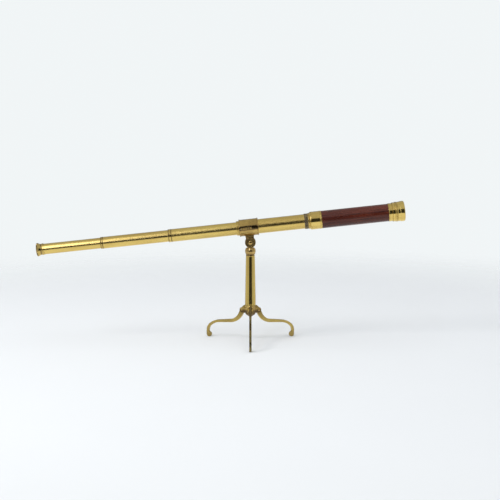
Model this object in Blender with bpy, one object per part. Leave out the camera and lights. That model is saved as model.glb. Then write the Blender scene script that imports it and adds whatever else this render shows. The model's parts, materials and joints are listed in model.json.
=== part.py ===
"""A brass and mahogany telescope with four draws, on a table stand with three folding legs.

The pillar stands on the Z axis of an inner frame, with its feet on Z = 0. The telescope points along +X,
tilted up, and the front leg points along -Y. At the end the whole assembly is moved so that the origin is
the middle of its footprint.
"""

import math

import bmesh
import bpy
from mathutils import Matrix, Vector

MM = 0.001

# Fits.
CLOSE_GAP = 0.2 * MM
GAP = 0.3 * MM

# The stand, as heights above the table and radii about the pillar.
FOOT_CIRCLE = 109.8 * MM
HUB_BOTTOM = 59.0 * MM
HUB_TOP = 83.1 * MM
HUB_CORE_RADIUS = 11.6 * MM
HUB_FLANGE_RADIUS = 13.2 * MM
HUB_FLANGE_HEIGHT = 3.3 * MM
HUB_FLOOR = 5.0 * MM
TAPPED_RADIUS = 3.0 * MM
PILLAR_TOP = 197.0 * MM
PILLAR_TOP_RADIUS = 10.1 * MM
PILLAR_BASE_RADIUS = 12.2 * MM
SPIGOT_RADIUS = 6.0 * MM
PIVOT_HEIGHT = 226.0 * MM
BULB_RADIUS = 11.9 * MM

# The legs: flat bars in the shape of an S, hinged in slots of the hub.
LEG_ANGLES = {"front": -90.0, "right": 30.0, "left": 150.0}
LEG_WIDTH = 5.2 * MM
LEG_PIN = Vector((19.5 * MM, 71.0 * MM))
LEG_PIN_RADIUS = 1.6 * MM
LEG_START_HEADING = -62.0
LEG_RUN_HEADING = -6.7
LEG_DROP = 12.0 * MM
LEG_INNER_BEND = 34.0 * MM
LEG_OUTER_BEND = 44.0 * MM
LEG_OUTER_HEADING = -42.0
LEG_TOE_BEND = 18.0 * MM
LEG_ROOT_THICKNESS = 12.0 * MM
LEG_BEND_THICKNESS = 10.0 * MM
LEG_RUN_THICKNESS = 7.4 * MM
LEG_END_THICKNESS = 6.0 * MM
TOE_RADIUS = 6.0 * MM
TOE_FLAT = 2.0 * MM
EAR_THICKNESS = 2.3 * MM
EAR_RADIUS = 6.2 * MM
HUB_SLOT_FLOOR = 7.8 * MM

# The compass joint between the stand and the clamp, whose pivot lies along Y.
TILT = 6.1
DISC_RADIUS = 12.0 * MM
TONGUE_HALF = 3.4 * MM
WASHER_THICKNESS = 0.6 * MM
CHEEK_THICKNESS = 4.4 * MM
PIVOT_RADIUS = 2.5 * MM
NECK_HALF_WIDTH = 9.4 * MM
AXIS_ABOVE_PIVOT = 34.0 * MM

# The telescope's tubes, with places along its axis measured from the point above the pivot.
WALL = 0.4 * MM
DRAW_RADIUS = {1: 12.0 * MM, 2: 13.1 * MM, 3: 14.3 * MM, 4: 16.15 * MM}
EYE_END = -477.8 * MM
COLLAR_START = {1: -460.2 * MM, 2: -333.4 * MM, 3: -180.9 * MM, 4: -27.2 * MM}
COLLAR_LENGTH = {2: 5.6 * MM, 3: 7.8 * MM, 4: 5.2 * MM}
COLLAR_GUIDE = {2: 18.0 * MM, 3: 18.0 * MM, 4: 22.0 * MM}
STOP_SLEEVE = 4.0 * MM
STOP_FLANGE = 3.0 * MM
BUSH_START = 125.0 * MM
BUSH_LENGTH = 34.0 * MM
BUSH_RADIUS = 17.3 * MM
FERRULE_START = 140.0 * MM
SLEEVE_START = 163.6 * MM
SLEEVE_END = 313.1 * MM
CELL_START = 322.4 * MM
OBJECTIVE_END = 349.3 * MM
LINER_INNER = 17.1 * MM
LINER_OUTER = 17.6 * MM
SLEEVE_RADIUS = 19.6 * MM
FERRULE_RADIUS = 20.0 * MM
FRONT_FERRULE_RADIUS = 20.4 * MM
OBJECTIVE_RADIUS = 19.1 * MM

# The clamp round the fourth draw, in two hinged halves.
CLAMP_HALF_LENGTH = 21.4 * MM
CLAMP_INNER = 17.3 * MM
CLAMP_OUTER = 18.7 * MM
CLAMP_RIM = 19.6 * MM
CLAMP_SPLIT = 2.0
LINING_INNER = 16.45 * MM
LINING_OUTER = 17.1 * MM
HINGE_RADIUS = 2.4 * MM
HINGE_PIN_RADIUS = 1.0 * MM
HINGE_START = -18.4 * MM
KNUCKLE_PITCH = 5.1 * MM
KNUCKLES = 5
HINGE_OFFSET = CLAMP_OUTER + HINGE_RADIUS + CLOSE_GAP
LUG_THICKNESS = 3.0 * MM
LUG_END = 29.5 * MM
LUG_HALF_WIDTH = 6.0 * MM
SCREW_OFFSET = 24.4 * MM
SADDLE_SCREWS = {"rear": -5.5 * MM, "front": 5.5 * MM}
THUMB_SCREW_RADIUS = 1.75 * MM

ROUND = 24
SMALL_ROUND = 12
HOLE_PHASE = 7.0

BRASS = ("brass", (0.72, 0.50, 0.20), 0.28, 1.0)
DARK_BRASS = ("tarnished_brass", (0.42, 0.28, 0.11), 0.38, 1.0)
BLACK_BRASS = ("blackened_brass", (0.03, 0.028, 0.025), 0.6, 0.2)
STEEL = ("steel", (0.45, 0.44, 0.42), 0.3, 1.0)
WOOD = ("mahogany", (0.16, 0.03, 0.012), 0.25, 0.0)
GLASS = ("glass", (0.80, 0.88, 0.90), 0.05, 0.0)
LEATHER = ("leather", (0.10, 0.05, 0.03), 0.8, 0.0)


def material(finish, owner):
    """Each object gets a material of its own, named after it."""
    kind, colour, roughness, metallic = finish
    made = bpy.data.materials.new(f"{owner}_{kind}")
    made.use_nodes = True
    shader = made.node_tree.nodes["Principled BSDF"]
    shader.inputs["Base Color"].default_value = (*colour, 1.0)
    shader.inputs["Roughness"].default_value = roughness
    shader.inputs["Metallic"].default_value = metallic
    return made


def frame(name, parent, location=(0, 0, 0), rotation=(0, 0, 0)):
    """An empty that carries the pieces of one moving body, with its origin on that body's joint."""
    empty = bpy.data.objects.new(name, None)
    bpy.context.scene.collection.objects.link(empty)
    empty.parent = parent
    empty.location = location
    empty.rotation_euler = rotation
    return empty


def piece(name, bm, finish, parent):
    """The bmesh as a named object, with its faces pointing out and its round faces smooth."""
    bmesh.ops.recalc_face_normals(bm, faces=bm.faces)
    mesh = bpy.data.meshes.new(name)
    bm.to_mesh(mesh)
    bm.free()
    mesh.shade_smooth()
    mesh.set_sharp_from_angle(angle=math.radians(32))
    made = bpy.data.objects.new(name, mesh)
    bpy.context.scene.collection.objects.link(made)
    made.parent = parent
    if finish is not None:
        mesh.materials.append(material(finish, name))
    return made


def tool(name, bm, parent):
    """A helper shape for a Boolean, left out of the finished assembly."""
    helper = piece(name, bm, None, parent)
    helper.hide_render = True
    helper.display_type = "WIRE"
    return helper


def boolean(target, operation, helper):
    change = target.modifiers.new(f"{operation.lower()} {helper.name}", "BOOLEAN")
    change.operation = operation
    change.object = helper
    change.solver = "EXACT"


def cut(target, helper):
    boolean(target, "DIFFERENCE", helper)


def add(target, helper):
    boolean(target, "UNION", helper)


def on_axis(axis, along, radius):
    """A point at that distance along the axis, at the angle where a turned shape starts."""
    return {"X": (along, radius, 0), "Y": (0, along, radius), "Z": (radius, 0, along)}[axis]


def turned(outline, axis="X", centre=(0, 0, 0), segments=ROUND, phase=0.0, sweep=360.0):
    """A solid of revolution. The outline is (along, radius) pairs; it closes by itself or on the axis."""
    bm = bmesh.new()
    verts = [bm.verts.new(on_axis(axis, along, radius)) for along, radius in outline]
    around = Vector(on_axis(axis, 1.0, 0.0))
    bmesh.ops.rotate(bm, verts=verts, cent=(0, 0, 0), matrix=Matrix.Rotation(math.radians(phase), 3, around))
    hollow = all(radius > 0 for _, radius in outline)
    pairs = list(zip(verts, verts[1:] + verts[:1])) if hollow else list(zip(verts, verts[1:]))
    edges = [bm.edges.new(pair) for pair in pairs]
    full = sweep == 360.0
    bmesh.ops.spin(
        bm, geom=verts + edges, cent=(0, 0, 0), axis=around,
        angle=math.radians(sweep), steps=segments, use_merge=full,
    )
    bmesh.ops.remove_doubles(bm, verts=bm.verts, dist=0.001 * MM)
    if not full:
        bmesh.ops.holes_fill(bm, edges=[edge for edge in bm.edges if edge.is_boundary])
    bmesh.ops.translate(bm, verts=bm.verts, vec=centre)
    return bm


def ring(start, end, inner, outer, **options):
    return turned([(start, inner), (start, outer), (end, outer), (end, inner)], **options)


def rod(start, end, radius, **options):
    return turned([(start, 0), (start, radius), (end, radius), (end, 0)], **options)


def drill(start, end, radius, axis, centre=(0, 0, 0)):
    """The shape of a round hole, turned a little so that none of its corners meets one of the piece."""
    return rod(start, end, radius, axis=axis, centre=centre, segments=SMALL_ROUND, phase=HOLE_PHASE)


def block(low, high):
    """A box between two corners."""
    bm = bmesh.new()
    bmesh.ops.create_cube(bm, size=1.0)
    size = Vector(high) - Vector(low)
    bmesh.ops.scale(bm, verts=bm.verts, vec=size)
    bmesh.ops.translate(bm, verts=bm.verts, vec=(Vector(high) + Vector(low)) / 2)
    return bm


def plate(outline, half_width):
    """An outline of (x, z) points, extruded both ways along Y."""
    bm = bmesh.new()
    face = bm.faces.new([bm.verts.new((x, -half_width, z)) for x, z in outline])
    grown = bmesh.ops.extrude_face_region(bm, geom=[face])
    moved = [item for item in grown["geom"] if isinstance(item, bmesh.types.BMVert)]
    bmesh.ops.translate(bm, verts=moved, vec=(0, 2 * half_width, 0))
    return bm


def arc(centre, radius, start, end, steps):
    """Points on a circle, from one angle in degrees to another."""
    angles = [math.radians(start + (end - start) * step / steps) for step in range(steps + 1)]
    return [(centre[0] + radius * math.cos(a), centre[1] + radius * math.sin(a)) for a in angles]


# The legs.


def leg_path():
    """The middle line of a leg, as (point, heading in degrees, thickness), from its pin to its toe."""
    point = LEG_PIN.copy()
    heading = LEG_START_HEADING
    path = [(point.copy(), heading, LEG_ROOT_THICKNESS)]
    drop = LEG_DROP * Vector((math.cos(math.radians(heading)), math.sin(math.radians(heading))))
    point += drop
    path.append((point.copy(), heading, LEG_BEND_THICKNESS))

    def bend(radius, end_heading, end_thickness, steps):
        nonlocal point, heading
        start_heading = heading
        start_thickness = path[-1][2]
        side = 1 if end_heading > start_heading else -1
        left = Vector((-math.sin(math.radians(heading)), math.cos(math.radians(heading))))
        centre = point + side * radius * left
        for step in range(1, steps + 1):
            part = step / steps
            heading = start_heading + (end_heading - start_heading) * part
            left = Vector((-math.sin(math.radians(heading)), math.cos(math.radians(heading))))
            point = centre - side * radius * left
            thickness = start_thickness + (end_thickness - start_thickness) * part
            path.append((point.copy(), heading, thickness))

    bend(LEG_INNER_BEND, LEG_RUN_HEADING, LEG_RUN_THICKNESS, 6)
    toe_line = FOOT_CIRCLE + TOE_RADIUS - LEG_END_THICKNESS / 2
    turn = math.radians(LEG_RUN_HEADING)
    outer_turn = math.radians(LEG_OUTER_HEADING)
    outer_reach = LEG_OUTER_BEND * (math.sin(turn) - math.sin(outer_turn))
    run_end = toe_line - outer_reach - LEG_TOE_BEND * (1 + math.sin(outer_turn))
    run = (run_end - point.x) / math.cos(turn)
    point = point + run * Vector((math.cos(turn), math.sin(turn)))
    path.append((point.copy(), heading, LEG_END_THICKNESS))
    bend(LEG_OUTER_BEND, LEG_OUTER_HEADING, LEG_END_THICKNESS, 4)
    bend(LEG_TOE_BEND, -90.0, LEG_END_THICKNESS, 4)
    return path


def leg_outline():
    """The side view of a leg, in the plane of its radius and its height."""
    path = leg_path()
    outer = []
    inner = []
    for point, heading, thickness in path:
        left = Vector((-math.sin(math.radians(heading)), math.cos(math.radians(heading))))
        outer.append(tuple(point + left * thickness / 2))
        inner.append(tuple(point - left * thickness / 2))
    toe_height = math.sqrt(TOE_RADIUS**2 - TOE_FLAT**2)
    flat = math.degrees(math.asin(TOE_FLAT / TOE_RADIUS))
    toe_centre = (FOOT_CIRCLE, toe_height)
    toe = arc(toe_centre, TOE_RADIUS, 0, -90 + flat, 4) + arc(toe_centre, TOE_RADIUS, -90 - flat, -270, 8)
    horn_low = HUB_FLANGE_RADIUS + GAP
    horn_top = HUB_TOP - 1.2 * MM
    horn = [(horn_low, horn_top), (horn_low + 3.0 * MM, horn_top)]
    return horn + outer + toe + inner[::-1]


def make_leg(side, hub_frame):
    """One leg with its pin. It folds down about the pin, and its horn stops it on the hub's flange."""
    turn = frame(f"leg_{side}_direction", hub_frame, rotation=(0, 0, math.radians(LEG_ANGLES[side])))
    body = frame(f"leg_{side}_hinge", turn, (LEG_PIN.x, 0, LEG_PIN.y))
    outline = [(x - LEG_PIN.x, z - LEG_PIN.y) for x, z in leg_outline()]
    leg = piece(f"leg_{side}", plate(outline, LEG_WIDTH / 2), BRASS, body)
    edge = leg.modifiers.new("eased edges", "BEVEL")
    edge.width = 0.6 * MM
    edge.segments = 1
    edge.limit_method = "ANGLE"
    edge.angle_limit = math.radians(60)
    cut(leg, tool(f"leg_{side}_hole", drill(-LEG_WIDTH, LEG_WIDTH, LEG_PIN_RADIUS + CLOSE_GAP, "Y"), body))
    ear_side = LEG_WIDTH / 2 + GAP + EAR_THICKNESS
    head = 1.1 * MM
    pin_outline = [
        (-ear_side - GAP - head, 0),
        (-ear_side - GAP - head, 2.0 * MM),
        (-ear_side - GAP - head / 2, 2.6 * MM),
        (-ear_side - GAP, 2.6 * MM),
        (-ear_side - GAP, LEG_PIN_RADIUS),
        (ear_side + head, LEG_PIN_RADIUS),
        (ear_side + head, 0),
    ]
    pin = turned(pin_outline, axis="Y", centre=(LEG_PIN.x, 0, LEG_PIN.y), segments=SMALL_ROUND)
    piece(f"leg_pin_{side}", pin, STEEL, turn)


# The stand.


def make_hub(hub_frame):
    """The turned hub, with a slot between two ears for each leg and a bore for the pillar's spigot."""
    flange_low = HUB_TOP - HUB_FLANGE_HEIGHT
    floor_height = HUB_BOTTOM + HUB_FLOOR
    outline = [
        (HUB_BOTTOM, TAPPED_RADIUS),
        (HUB_BOTTOM, 6.4 * MM),
        (HUB_BOTTOM + 1.2 * MM, 8.4 * MM),
        (HUB_BOTTOM + 3.6 * MM, 10.4 * MM),
        (HUB_BOTTOM + 7.0 * MM, HUB_CORE_RADIUS),
        (flange_low - 1.2 * MM, HUB_CORE_RADIUS),
        (flange_low, HUB_FLANGE_RADIUS - 0.5 * MM),
        (flange_low + 0.7 * MM, HUB_FLANGE_RADIUS),
        (HUB_TOP - 0.7 * MM, HUB_FLANGE_RADIUS),
        (HUB_TOP, HUB_FLANGE_RADIUS - 0.7 * MM),
        (HUB_TOP, SPIGOT_RADIUS + CLOSE_GAP),
        (floor_height, SPIGOT_RADIUS + CLOSE_GAP),
        (floor_height, TAPPED_RADIUS),
    ]
    hub = piece("hub", turned(outline, axis="Z", segments=30), DARK_BRASS, hub_frame)
    ear_side = LEG_WIDTH / 2 + GAP + EAR_THICKNESS
    slots = []
    for side, angle in LEG_ANGLES.items():
        turn = frame(f"hub_{side}_direction", hub_frame, rotation=(0, 0, math.radians(angle)))
        root = HUB_SLOT_FLOOR + 1.2 * MM
        ears = arc(LEG_PIN, EAR_RADIUS, 90, -90, 8)
        ears += [(root, LEG_PIN.y - EAR_RADIUS), (root, LEG_PIN.y + EAR_RADIUS)]
        add(hub, tool(f"hub_{side}_ears", plate(ears, ear_side), turn))
        slot_half = LEG_WIDTH / 2 + GAP
        low = (HUB_SLOT_FLOOR, -slot_half, HUB_BOTTOM - 5.0 * MM)
        high = (LEG_PIN.x + 15.0 * MM, slot_half, flange_low - 0.6 * MM)
        slots.append(tool(f"hub_{side}_slot", block(low, high), turn))
        middle = (LEG_PIN.x, 0, LEG_PIN.y)
        hole = drill(-9.0 * MM, 9.0 * MM, LEG_PIN_RADIUS + CLOSE_GAP, "Y", middle)
        slots.append(tool(f"hub_{side}_pin_hole", hole, turn))
    for slot in slots:
        cut(hub, slot)
    screw = [
        (HUB_BOTTOM - 2.3 * MM, 0),
        (HUB_BOTTOM - 2.3 * MM, 3.6 * MM),
        (HUB_BOTTOM - 1.3 * MM, 5.0 * MM),
        (HUB_BOTTOM - GAP, 5.0 * MM),
        (HUB_BOTTOM - GAP, 2.5 * MM),
        (HUB_BOTTOM + 20.0 * MM, 2.5 * MM),
        (HUB_BOTTOM + 20.0 * MM, 0),
    ]
    piece("hub_screw", turned(screw, axis="Z", segments=SMALL_ROUND), STEEL, hub_frame)


def make_pillar(hub_frame):
    """The tapered pillar, with a spigot in the hub and a tapped hole at each end."""
    base = HUB_TOP + GAP
    spigot_low = HUB_BOTTOM + HUB_FLOOR + GAP
    lower_hole_end = HUB_BOTTOM + 22.0 * MM
    upper_hole_end = PILLAR_TOP - 22.0 * MM
    outline = [
        (lower_hole_end, 0),
        (lower_hole_end, TAPPED_RADIUS),
        (spigot_low, TAPPED_RADIUS),
        (spigot_low, SPIGOT_RADIUS),
        (base, SPIGOT_RADIUS),
        (base, PILLAR_BASE_RADIUS),
        (PILLAR_TOP - 0.8 * MM, PILLAR_TOP_RADIUS),
        (PILLAR_TOP, PILLAR_TOP_RADIUS - 0.5 * MM),
        (PILLAR_TOP, TAPPED_RADIUS),
        (upper_hole_end, TAPPED_RADIUS),
        (upper_hole_end, 0),
    ]
    piece("pillar", turned(outline, axis="Z"), BRASS, hub_frame)


def make_head(head):
    """The head that turns on the pillar: a turned bulb under the two cheeks of the compass joint."""
    bottom = PILLAR_TOP + 1.5 * MM
    neck_radius = 8.0 * MM
    neck_height = 214.6 * MM
    middle = bottom + 8.0 * MM
    outline = [
        (bottom, 3.0 * MM),
        (bottom, PILLAR_TOP_RADIUS - 0.2 * MM),
        (bottom + 1.8 * MM, PILLAR_TOP_RADIUS + 0.7 * MM),
        (middle - 2.5 * MM, BULB_RADIUS - 0.3 * MM),
        (middle, BULB_RADIUS),
        (middle + 2.6 * MM, BULB_RADIUS - 0.4 * MM),
        (neck_height - 2.6 * MM, BULB_RADIUS - 1.9 * MM),
        (neck_height - 0.8 * MM, neck_radius),
        (neck_height + 3.0 * MM, neck_radius),
        (neck_height + 3.0 * MM, 3.0 * MM),
    ]
    fork = piece("joint_fork", turned(outline, axis="Z"), DARK_BRASS, head)
    slot_half = TONGUE_HALF + WASHER_THICKNESS + 2 * CLOSE_GAP
    cheek_side = slot_half + CHEEK_THICKNESS
    pivot = (0, 0, PIVOT_HEIGHT)
    bore = PIVOT_RADIUS + CLOSE_GAP
    discs = ring(-cheek_side, cheek_side, bore, DISC_RADIUS, axis="Y", centre=pivot, segments=30)
    add(fork, tool("fork_discs", discs, head))
    slot_floor = PIVOT_HEIGHT - DISC_RADIUS - 0.8 * MM
    low = (-DISC_RADIUS - 5 * MM, -slot_half, slot_floor)
    high = (DISC_RADIUS + 5 * MM, slot_half, PIVOT_HEIGHT + DISC_RADIUS + 5 * MM)
    cut(fork, tool("fork_slot", block(low, high), head))
    seat = drill(slot_floor - 4.0 * MM, slot_floor + 1.0 * MM, 4.6 * MM, "Z")
    cut(fork, tool("fork_screw_seat", seat, head))

    for side, sign in (("front", -1), ("back", 1)):
        inside = sign * (TONGUE_HALF + CLOSE_GAP)
        outside = sign * (TONGUE_HALF + CLOSE_GAP + WASHER_THICKNESS)
        washer = ring(inside, outside, PIVOT_RADIUS + GAP, DISC_RADIUS - 1 * MM, axis="Y", centre=pivot)
        piece(f"joint_washer_{side}", washer, LEATHER, head)

    head_low = -cheek_side - CLOSE_GAP
    screw = [
        (head_low - 1.7 * MM, 0),
        (head_low - 1.7 * MM, 3.2 * MM),
        (head_low - 1.0 * MM, 4.4 * MM),
        (head_low, 4.6 * MM),
        (head_low, PIVOT_RADIUS),
        (cheek_side + 4.4 * MM, PIVOT_RADIUS),
        (cheek_side + 4.4 * MM, 0),
    ]
    pivot_screw = piece("joint_pivot_screw", turned(screw, axis="Y", centre=pivot, segments=SMALL_ROUND),
                        STEEL, head)
    low = (-6 * MM, head_low - 3 * MM, PIVOT_HEIGHT - 0.45 * MM)
    high = (6 * MM, head_low - 1.0 * MM, PIVOT_HEIGHT + 0.45 * MM)
    cut(pivot_screw, tool("pivot_screw_slot", block(low, high), head))
    hexagon = rod(cheek_side + CLOSE_GAP, cheek_side + 3.4 * MM, 5.2 * MM, axis="Y", centre=pivot, segments=6)
    nut = piece("joint_nut", hexagon, DARK_BRASS, head)
    hole = drill(cheek_side - 1.0 * MM, cheek_side + 5.0 * MM, PIVOT_RADIUS + CLOSE_GAP, "Y", pivot)
    cut(nut, tool("nut_hole", hole, head))


def make_head_screw(hub_frame):
    """The screw and washer on which the head turns, fixed in the top of the pillar."""
    seat = PIVOT_HEIGHT - DISC_RADIUS - 4.8 * MM + CLOSE_GAP
    shank = TAPPED_RADIUS - 0.25 * MM
    screw = [
        (PILLAR_TOP - 20.0 * MM, 0),
        (PILLAR_TOP - 20.0 * MM, shank),
        (seat, shank),
        (seat, 4.3 * MM),
        (seat + 2.2 * MM, 4.3 * MM),
        (seat + 3.0 * MM, 3.2 * MM),
        (seat + 3.0 * MM, 0),
    ]
    piece("head_screw", turned(screw, axis="Z", segments=SMALL_ROUND), STEEL, hub_frame)
    washer = ring(PILLAR_TOP + CLOSE_GAP, PILLAR_TOP + 1.3 * MM, 3.0 * MM, PILLAR_TOP_RADIUS - 1.2 * MM,
                  axis="Z")
    piece("head_washer", washer, LEATHER, hub_frame)


# The clamp, in the frame that tilts: its origin is the pivot, and X lies along the telescope.


def make_tongue(tilt):
    """The tongue of the compass joint, whose neck widens into a saddle under the clamp."""
    disc = ring(-TONGUE_HALF, TONGUE_HALF, PIVOT_RADIUS + GAP, DISC_RADIUS, axis="Y", segments=30)
    tongue = piece("joint_tongue", disc, DARK_BRASS, tilt)
    neck_top = AXIS_ABOVE_PIVOT - CLAMP_OUTER * 0.8
    neck = [
        (-NECK_HALF_WIDTH + 1.0 * MM, 5.0 * MM),
        (NECK_HALF_WIDTH - 1.0 * MM, 5.0 * MM),
        (NECK_HALF_WIDTH, 12.0 * MM),
        (NECK_HALF_WIDTH, neck_top),
        (-NECK_HALF_WIDTH, neck_top),
        (-NECK_HALF_WIDTH, 12.0 * MM),
    ]
    add(tongue, tool("tongue_neck", plate(neck, TONGUE_HALF - 0.1 * MM), tilt))
    saddle_low = DISC_RADIUS + 0.9 * MM
    low = (-NECK_HALF_WIDTH - 0.3 * MM, -8.5 * MM, saddle_low)
    high = (NECK_HALF_WIDTH + 0.3 * MM, 8.5 * MM, neck_top)
    add(tongue, tool("tongue_saddle", block(low, high), tilt))
    bed = rod(-30.0 * MM, 30.0 * MM, CLAMP_OUTER + CLOSE_GAP, centre=(0, 0, AXIS_ABOVE_PIVOT))
    cut(tongue, tool("tongue_bed", bed, tilt))
    for place, x in SADDLE_SCREWS.items():
        hole = drill(9.0 * MM, 20.0 * MM, 1.4 * MM, "Z", (x, 0, 0))
        cut(tongue, tool(f"tongue_screw_hole_{place}", hole, tilt))


def clamp_outline():
    """A cross-section of a clamp half, with a raised rim at each end."""
    end = CLAMP_HALF_LENGTH
    rim = 2.0 * MM
    return [
        (-end, CLAMP_INNER),
        (-end, CLAMP_RIM - 0.4 * MM),
        (-end + 0.5 * MM, CLAMP_RIM),
        (-end + rim, CLAMP_RIM),
        (-end + rim + 0.4 * MM, CLAMP_OUTER),
        (end - rim - 0.4 * MM, CLAMP_OUTER),
        (end - rim, CLAMP_RIM),
        (end - 0.5 * MM, CLAMP_RIM),
        (end, CLAMP_RIM - 0.4 * MM),
        (end, CLAMP_INNER),
    ]


def half_turned(outline, upper):
    phase = CLAMP_SPLIT if upper else 180 + CLAMP_SPLIT
    return turned(outline, segments=ROUND // 2, phase=phase, sweep=180 - 2 * CLAMP_SPLIT)


def hinge_knuckle(index, upper):
    """One knuckle of the hinge with the web that joins it to its half of the clamp."""
    start = HINGE_START + index * KNUCKLE_PITCH
    end = start + KNUCKLE_PITCH - GAP
    sign = 1 if upper else -1
    bore = HINGE_PIN_RADIUS + CLOSE_GAP
    knuckle = ring(start, end, bore, HINGE_RADIUS, centre=(0, -HINGE_OFFSET, 0), segments=SMALL_ROUND)
    edge = sign * 0.75 * MM
    top = sign * 1.95 * MM
    reach = CLAMP_OUTER - 0.7 * MM
    low = (start + 0.05 * MM, bore + 0.2 * MM - HINGE_OFFSET, min(edge, top))
    high = (end - 0.05 * MM, -reach, max(edge, top))
    return knuckle, block(low, high)


def make_clamp_half(name, parent, upper):
    """One half of the clamp: a half ring, its hinge knuckles on -Y and its lug on +Y."""
    half = piece(name, half_turned(clamp_outline(), upper), DARK_BRASS, parent)
    for index in range(0 if not upper else 1, KNUCKLES, 2):
        knuckle, web = hinge_knuckle(index, upper)
        add(half, tool(f"{name}_knuckle_{index}", knuckle, parent))
        add(half, tool(f"{name}_web_{index}", web, parent))
    sign = 1 if upper else -1
    near = sign * GAP * 2
    far = sign * (GAP * 2 + LUG_THICKNESS)
    low = (-LUG_HALF_WIDTH, CLAMP_OUTER - 0.9 * MM, min(near, far))
    high = (LUG_HALF_WIDTH, LUG_END, max(near, far))
    add(half, tool(f"{name}_lug", block(low, high), parent))
    clearance = CLOSE_GAP if upper else 0.7 * MM
    hole = drill(-9.0 * MM, 9.0 * MM, THUMB_SCREW_RADIUS + clearance, "Z", (0, SCREW_OFFSET, 0))
    cut(half, tool(f"{name}_screw_hole", hole, parent))
    return half


def make_clamp(axis, cap):
    """The clamp's two halves, its hinge pin and the leather that lines it."""
    lower = make_clamp_half("clamp_lower_half", axis, upper=False)
    make_clamp_half("clamp_upper_half", cap, upper=True)
    hinge_end = HINGE_START + KNUCKLES * KNUCKLE_PITCH - GAP
    pin = rod(HINGE_START - 0.6 * MM, hinge_end + 0.6 * MM, HINGE_PIN_RADIUS,
              centre=(0, -HINGE_OFFSET, 0), segments=SMALL_ROUND)
    piece("clamp_hinge_pin", pin, STEEL, axis)
    end = CLAMP_HALF_LENGTH - 1.4 * MM
    lining = [(-end, LINING_INNER), (-end, LINING_OUTER), (end, LINING_OUTER), (end, LINING_INNER)]
    piece("clamp_lining_lower", half_turned(lining, False), LEATHER, axis)
    piece("clamp_lining_upper", half_turned(lining, True), LEATHER, cap)
    for place, x in SADDLE_SCREWS.items():
        top = -CLAMP_INNER - 0.25 * MM
        under = -CLAMP_OUTER + 0.4 * MM
        seat = [
            (-CLAMP_OUTER - 1 * MM, 0),
            (-CLAMP_OUTER - 1 * MM, 1.5 * MM),
            (under, 1.5 * MM),
            (top + 0.1 * MM, 2.6 * MM),
            (top + 1.5 * MM, 2.6 * MM),
            (top + 1.5 * MM, 0),
        ]
        seat_shape = turned(seat, axis="Z", centre=(x, 0, 0), segments=SMALL_ROUND, phase=HOLE_PHASE)
        cut(lower, tool(f"saddle_screw_seat_{place}", seat_shape, axis))
        screw = [
            (-CLAMP_OUTER - 4.5 * MM, 0),
            (-CLAMP_OUTER - 4.5 * MM, 1.2 * MM),
            (under, 1.2 * MM),
            (top, 2.3 * MM),
            (top, 0),
        ]
        shape = turned(screw, axis="Z", centre=(x, 0, 0), segments=SMALL_ROUND)
        piece(f"saddle_screw_{place}", shape, STEEL, axis)


def make_thumb_screw(screw_frame):
    """A knurled thumb screw, captive in the upper lug. Its frame's origin is on its own axis."""
    lug_top = GAP * 2 + LUG_THICKNESS
    outline = [
        (-lug_top - 1.5 * MM, 0),
        (-lug_top - 1.5 * MM, THUMB_SCREW_RADIUS - 0.4 * MM),
        (-lug_top - 0.9 * MM, THUMB_SCREW_RADIUS),
        (lug_top + GAP, THUMB_SCREW_RADIUS),
        (lug_top + GAP, 3.2 * MM),
        (lug_top + 2.2 * MM, 3.2 * MM),
        (lug_top + 2.8 * MM, 5.4 * MM),
        (lug_top + 3.4 * MM, 6.0 * MM),
        (lug_top + 8.2 * MM, 6.0 * MM),
        (lug_top + 9.0 * MM, 5.2 * MM),
        (lug_top + 9.0 * MM, 0),
    ]
    piece("clamp_thumb_screw", turned(outline, axis="Z", segments=16), DARK_BRASS, screw_frame)


# The telescope. Each section's frame lies on the optical axis, with X towards the objective.


def make_draw(number, axis, tube_start, tube_end):
    outer = DRAW_RADIUS[number]
    piece(f"draw_{number}_tube", ring(tube_start, tube_end, outer - WALL, outer), BRASS, axis)


def make_collar(number, axis):
    """The ring on the outer end of a draw. Its long sleeve inside the tube guides the next draw."""
    start = COLLAR_START[number]
    flange = start + COLLAR_LENGTH[number]
    bore = DRAW_RADIUS[number - 1] + CLOSE_GAP
    tube = DRAW_RADIUS[number]
    sleeve = tube - WALL - CLOSE_GAP
    outline = [
        (start, bore),
        (start, tube - 0.1 * MM),
        (start + 0.6 * MM, tube + 0.45 * MM),
        (flange - 0.6 * MM, tube + 0.45 * MM),
        (flange, tube - 0.1 * MM),
        (flange, sleeve),
        (flange + COLLAR_GUIDE[number], sleeve),
        (flange + COLLAR_GUIDE[number], bore),
    ]
    piece(f"draw_{number}_collar", turned(outline), BRASS, axis)


def draw_inner_end(number):
    """Where a draw's tube ends inside the next one: against the end of that collar's guide."""
    if number == 4:
        return BUSH_START + BUSH_LENGTH + GAP
    following = number + 1
    return COLLAR_START[following] + COLLAR_LENGTH[following] + COLLAR_GUIDE[following] + GAP


def stop_radius(number):
    """The stop rides just inside the next tube, and is wider than the bore of that tube's guide."""
    if number == 4:
        return LINER_INNER - CLOSE_GAP
    return DRAW_RADIUS[number + 1] - WALL - CLOSE_GAP


def make_stop_ring(number, axis):
    """The ring in a draw's inner end, whose flange stops the draw from coming out."""
    tube_end = draw_inner_end(number)
    sleeve = DRAW_RADIUS[number] - WALL - CLOSE_GAP
    bore = sleeve - 0.6 * MM
    flange = tube_end + CLOSE_GAP
    outline = [
        (tube_end - STOP_SLEEVE, bore),
        (tube_end - STOP_SLEEVE, sleeve),
        (flange, sleeve),
        (flange, stop_radius(number)),
        (flange + STOP_FLANGE, stop_radius(number)),
        (flange + STOP_FLANGE, bore),
    ]
    piece(f"draw_{number}_stop_ring", turned(outline), BRASS, axis)


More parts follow.
